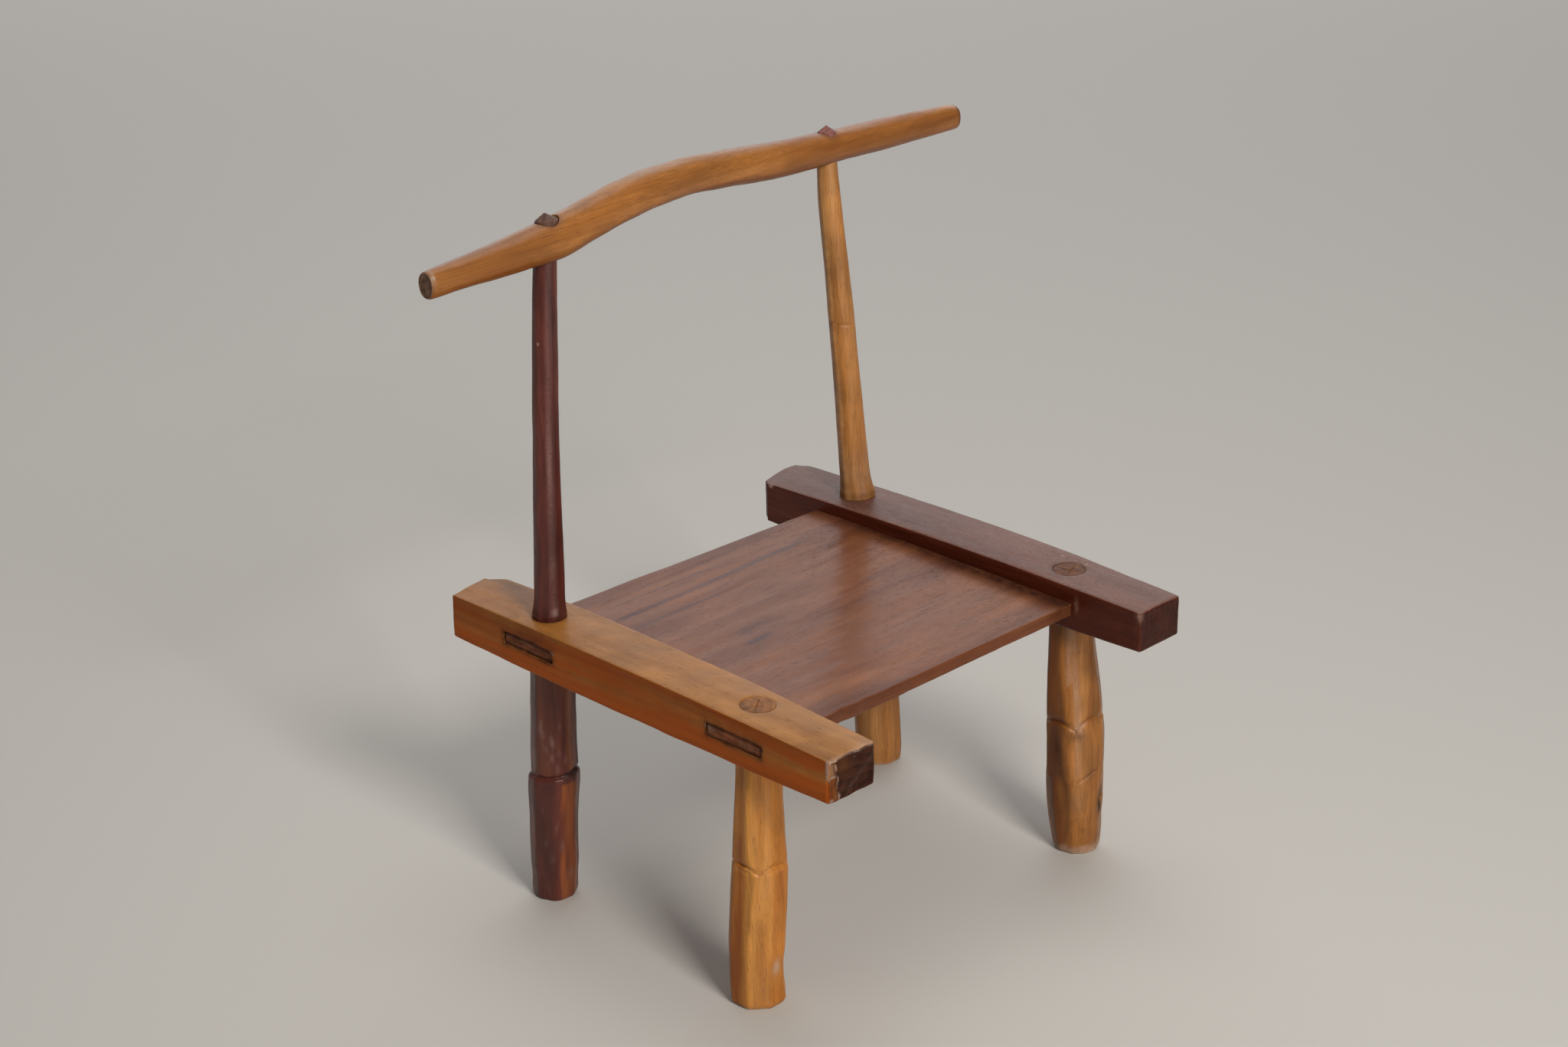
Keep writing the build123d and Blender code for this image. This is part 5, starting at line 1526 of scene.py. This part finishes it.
def dress():
    mats = materials()
    seat = build_seat()
    left, right = build_rails()
    crest = build_crest()
    lf, rf, lr, rr = build_sticks()
    pieces = [
        (seat, "seat_board", "seat_wood", "seat", 3.0),
        (left, "left_rail", "light_rail_wood", "left_rail", 3.0),
        (right, "right_rail", "dark_rail_wood", "right_rail", 3.0),
        (crest, "crest_rail", "crest_wood", "crest", 2.6),
        (lf, "left_front_leg", "golden_leg_wood", "leg", 2.6),
        (rf, "right_front_leg", "golden_leg_wood", "brown_leg", 2.6),
        (lr, "left_rear_leg_post", "red_stick_wood", "left_post", 2.6),
        (rr, "right_rear_leg_post", "golden_stick_wood", "right_post", 2.6),
    ]
    for obj, node, slot_name, mat, reach in pieces:
        obj.name = node + "_carved"
        obj.data.name = node + "_carved"
        sharp_by_angle(obj.data, 42)
        wear_and_light, hollow_dirt_and_shade = common_fields(obj, reach)
        p, n = points_of(obj), normals_of(obj)
        f = {"wear_and_light": wear_and_light, "hollow_dirt_and_shade": hollow_dirt_and_shade}
        for key in ("endgrain", "chip", "stain_and_shade", "dust_and_sheen", "tint_and_shade"):
            f[key] = np.zeros(len(p))
        if node == "left_rail":
            dress_left_rail(p, n, f)
        elif node == "right_rail":
            dress_right_rail(p, n, f)
        elif node == "seat_board":
            dress_seat(p, n, f)
        elif node == "crest_rail":
            dress_crest(p, n, f)
        elif node == "left_front_leg":
            dress_leg(p, n, f, LEG_LF, VIEW_LF, True)
            # painted highlight: a paler strip down the front facet
            f["dust_and_sheen"] += 0.20 * (p[:, 2] < 225) * sector(bearing_of(p, LEG_LF) - VIEW_LF, 4, 22, 22) * (0.8 + 0.5 * noise(p, (9, 9, 34), 453))
            f["dust_and_sheen"] += 0.9 * blob(p, on_stick(LEG_LF, 36.5, VIEW_LF + 46), (4.5, 4.5, 7))
            f["chip"] += 0.45 * blob(p, on_stick(LEG_LF, 37.5, VIEW_LF + 48), (2.2, 2.2, 2.6))
            crescent = bell(np.hypot(p[:, 0] + 188, p[:, 1] + 116.5) - 11.5, 2.4) * smooth((-(p[:, 0] + 188) - 2) / 5)
            f["stain_and_shade"] += (p[:, 2] > 255) * (0.12 + 0.40 * crescent)
            deg = bearing_of(p, LEG_LF) - VIEW_LF
            lower = smooth((124 - p[:, 2]) / 4)
            # painted shade: the side facets of the lower section darker
            f["tint_and_shade"] += lower * (0.16 * sector(deg, -46, 22, 14) + 0.35 * sector(deg, 46, 22, 14))
            f["stain_and_shade"] += 0.07 * lower
        elif node == "right_front_leg":
            dress_leg(p, n, f, LEG_RF, VIEW_RF, True)
            foot = smooth((13.0 + 3.5 * noise(p, (7, 7, 6), 461) - p[:, 2]) / 9.0)
            f["dust_and_sheen"] += 0.75 * foot
            f["chip"] += 0.60 * smooth((5.0 + 2.5 * noise(p, (4, 4, 4), 462) - p[:, 2]) / 4.0)
            f["stain_and_shade"] += 1.5 * blob(p, on_stick(LEG_RF, 49, VIEW_RF + 72, 0.97), (6.5, 6.5, 13))
            f["stain_and_shade"] += 0.40 * (p[:, 2] > 255) * (0.8 + 0.4 * noise(p, (6, 6, 6), 463))
            deg = bearing_of(p, LEG_RF) - VIEW_RF
            body = p[:, 2] < 225
            # painted sheen: a pale highlight down the front facet above the lower node
            sheen = body * sector(deg, 0, 15, 12) * smooth((p[:, 2] - 74 - 0.25 * np.abs(deg % 360 - 0)) / 6)
            f["dust_and_sheen"] += sheen * (0.42 + 0.16 * noise(p, (9, 9, 30), 464))
            f["stain_and_shade"] += 0.06 * smooth((124 - p[:, 2]) / 4)
            # painted shade: the side facets darker
            f["tint_and_shade"] += body * (0.14 * sector(deg, 40, 22, 14) + 0.25 * sector(deg, -40, 24, 14))
            patch = noise(p, (7, 7, 14), 465)
            for z, b, k, wide, high in ((92, -30, 0.42, 9, 22), (66, -22, 0.40, 7, 16), (42, -26, 0.36, 8, 16), (118, 8, 0.36, 9, 5), (108, -46, 0.25, 8, 12), (52, 26, 0.18, 7, 14), (26, 4, 0.16, 9, 10)):
                f["stain_and_shade"] += k * (0.8 + 0.6 * patch) * blob(p, on_stick(LEG_RF, z, VIEW_RF + b), (wide, wide, high))
            f["dust_and_sheen"] += 0.28 * blob(p, on_stick(LEG_RF, 52, VIEW_RF + 6), (6, 6, 15)) * (0.8 + 0.5 * patch)
            f["dust_and_sheen"] += 0.30 * blob(p, on_stick(LEG_RF, 126, VIEW_RF + 10), (5, 5, 8))
        elif node == "left_rear_leg_post":
            f["endgrain"] = smooth((p[:, 2] - 594) / 4) + (p[:, 2] < 3) * smooth((-n[:, 2] - 0.7) / 0.2)
            deg = bearing_of(p, LEG_LR) - VIEW_LR
            below = smooth((117 - p[:, 2]) / 5)
            f["tint_and_shade"] = below * (0.85 * sector(deg, 44, 30, 16) * (0.75 + 0.5 * noise(p, (9, 9, 40), 471)))
            f["tint_and_shade"] += 0.4 * below * sector(deg, -64, 16, 14) * bell(p[:, 2] - 62, 26)
            f["tint_and_shade"] += 0.35 * smooth((p[:, 2] - 122) / 6) * (p[:, 2] < 225) * sector(deg, 52, 20, 18)
            for z, b, k, s in (
                (164, -40, 0.9, 2.4), (156.5, -8, 0.8, 2.0), (166, 43.5, 0.7, 1.8), (56.6, -22, 0.7, 2.0), (54.4, 19, 0.7, 2.2),
                (42.8, -6, 0.6, 2.0), (24.8, 44, 0.7, 2.4), (149, -30, 0.6, 1.6), (143, 12, 0.6, 1.6), (133, -20, 0.5, 1.5),
                (171, -36, 0.9, 1.9), (160, -30, 0.9, 2.0), (152, -4, 0.9, 1.8), (147, -20, 0.8, 1.8), (139, -6, 0.8, 2.0),
                (129, 6, 0.7, 1.8), (136, 28, 0.6, 1.6), (168, 14, 0.6, 1.6), (88, -30, 0.5, 1.8), (73, 4, 0.5, 1.6), (12, -20, 0.5, 2.4),
            ):
                f["dust_and_sheen"] += 0.75 * k * blob(p, on_stick(LEG_LR, z, VIEW_LR + b), (s, s, 2.4 * s))
            f["chip"] += 0.7 * blob(p, on_stick(POST_L, 501, -164), (1.8, 1.8, 2.2))
            f["dust_and_sheen"] += 0.5 * blob(p, on_stick(POST_L, 272, VIEW_LR + 20), (3, 3, 3))
            # painted sheen: a paler band down the post's front
            face = sector(bearing_of(p, POST_L) - VIEW_LR, 12, 12, 22) * (p[:, 2] > 268) * (p[:, 2] < 590)
            f["dust_and_sheen"] += face * (0.26 + 0.16 * noise(p, (9, 9, 60), 472) + 0.25 * bell(p[:, 2] - 312, 9) + 0.25 * bell(p[:, 2] - 405, 30))
            # the lower section darker towards its left; painted shade in the right side of the notch
            f["stain_and_shade"] += 0.32 * below * sector(deg, -30, 30, 20) + 0.8 * bell(p[:, 2] - 121.5, 2.6) * sector(deg, 62, 40, 16)
            f["tint_and_shade"] += 0.32 * (p[:, 2] > 122) * (p[:, 2] < 225)
            f["dust_and_sheen"] += 0.5 * smooth((2.0 - p[:, 2]) / 2)
        else:
            f["endgrain"] = smooth((p[:, 2] - 592) / 3) + (p[:, 2] < 3) * smooth((-n[:, 2] - 0.7) / 0.2)
            deg = bearing_of(p, POST_R) - VIEW_RR
            up = p[:, 2] > 262
            f["tint_and_shade"] = up * (0.12 * sector(deg, -62, 30, 24) * (0.7 + 0.6 * noise(p, (9, 9, 40), 481)))
            f["tint_and_shade"] += up * 0.5 * np.maximum(0, noise(p, (9, 9, 30), 482)) + 0.5 * up * bell(p[:, 2] - 425, 5) * sector(deg, -40, 40, 20)
            # painted shade: the leg darker down the side away from the light
            f["tint_and_shade"] += (p[:, 2] < 225) * 0.45 * sector(bearing_of(p, LEG_RR) - VIEW_RR, -75, 38, 30)
            f["stain_and_shade"] += 0.3 * bell(p[:, 2] - 266, 3.5) * up
            # painted light: the post's left side paler, where the lamps reach less
            f["wear_and_light"] = np.maximum(f["wear_and_light"] * 0.5, up * 0.95 * sector(deg, -60, 34, 24) * (0.8 + 0.3 * noise(p, (9, 9, 60), 484)))
            f["wear_and_light"] *= 1 - 0.55 * smooth((p[:, 2] - 470) / 80)
            f["stain_and_shade"] += 0.13 * smooth((p[:, 2] - 470) / 80)
            f["dust_and_sheen"] += 0.22 * bell(p[:, 2] - 288, 20)
            f["tint_and_shade"] *= 1 - 0.6 * up * smooth((335 - p[:, 2]) / 30)
            f["dust_and_sheen"] += 0.7 * smooth((4.0 + noise(p, (5, 5, 5), 483) - p[:, 2]) / 3)
        paint(obj, **f)
        place(obj, node, mats[mat])
        print(node, len(obj.data.vertices), len(obj.data.polygons))


# ============================================================ stage, camera
def stage():
    mesh = bpy.data.meshes.new("floor")
    s = 14.0
    mesh.from_pydata([(-s, -s, 0), (s, -s, 0), (s, s, 0), (-s, s, 0)], [], [(0, 1, 2, 3)])
    floor = bpy.data.objects.new("floor", mesh)
    bpy.context.scene.collection.objects.link(floor)
    t = Nodes("floor_pale")
    t.shader.inputs["Base Color"].default_value = (0.54, 0.52, 0.49, 1)
    t.shader.inputs["Roughness"].default_value = 0.7
    t.shader.inputs["Specular IOR Level"].default_value = 0.2
    mesh.materials.append(t.material)

    world = bpy.data.worlds.new("studio")
    bpy.context.scene.world = world
    world.use_nodes = True
    background = world.node_tree.nodes["Background"]
    background.inputs[0].default_value = (1.0, 0.96, 0.90, 1)
    background.inputs[1].default_value = 0.16

    def softbox(name, at, aim, size, power, colour, spread=180.0):
        data = bpy.data.lights.new(name, "AREA")
        data.shape = "RECTANGLE"
        data.size, data.size_y = size
        half = math.radians(spread) / 2
        # a grid narrows the beam but keeps the light along its middle
        data.energy = power if spread >= 180 else power * (math.tan(half) - half) / math.tan(half)
        data.spread = math.radians(spread)
        data.color = colour
        obj = bpy.data.objects.new(name, data)
        obj.location = at
        obj.rotation_euler = (Vector(aim) - Vector(at)).to_track_quat("-Z", "Y").to_euler()
        obj.visible_camera = False
        bpy.context.scene.collection.objects.link(obj)

    softbox("overhead", (0.5, 0.4, 3.4), (0, 0, 0.2), (2.2, 2.2), 33.0, (1.0, 0.98, 0.96))
    softbox("key", (-0.95, -2.8, 2.55), (0, 0, 0.3), (0.9, 0.9), 104.0, (1.0, 0.96, 0.90), 100.0)
    softbox("strip", (-0.40, -2.8, 0.55), (0, 0, 0.3), (0.42, 1.0), 25.0, (1.0, 0.98, 0.95), 70.0)
    softbox("back_panel", (3.3, 3.3, 2.1), (0, 0, 0.5), (7.0, 3.4), 105.0, (0.95, 0.96, 1.0))


def camera():
    f, c = 4353.76510865105, Vector((-1.7916466370, -1.7619089586, 1.3741928262))
    az, el, roll = -0.7823818480199394, 0.3965763021183388, -0.019054180467222244
    back = Vector((math.sin(az) * math.cos(el), -math.cos(az) * math.cos(el), math.sin(el)))
    right = Vector((0, 0, 1)).cross(back).normalized()
    up = back.cross(right)
    r2 = math.cos(roll) * right + math.sin(roll) * up
    u2 = -math.sin(roll) * right + math.cos(roll) * up
    data = bpy.data.cameras.new("camera")
    data.sensor_width = 36.0
    data.lens = f / 2048 * 36.0
    data.clip_end = 60.0
    obj = bpy.data.objects.new("camera", data)
    obj.matrix_world = Matrix((
        (r2.x, u2.x, back.x, c.x), (r2.y, u2.y, back.y, c.y), (r2.z, u2.z, back.z, c.z), (0, 0, 0, 1)))
    bpy.context.scene.collection.objects.link(obj)
    bpy.context.scene.camera = obj


dress()
stage()
camera()
bpy.context.scene.view_settings.view_transform = "Standard"
bpy.context.scene.view_settings.look = "None"
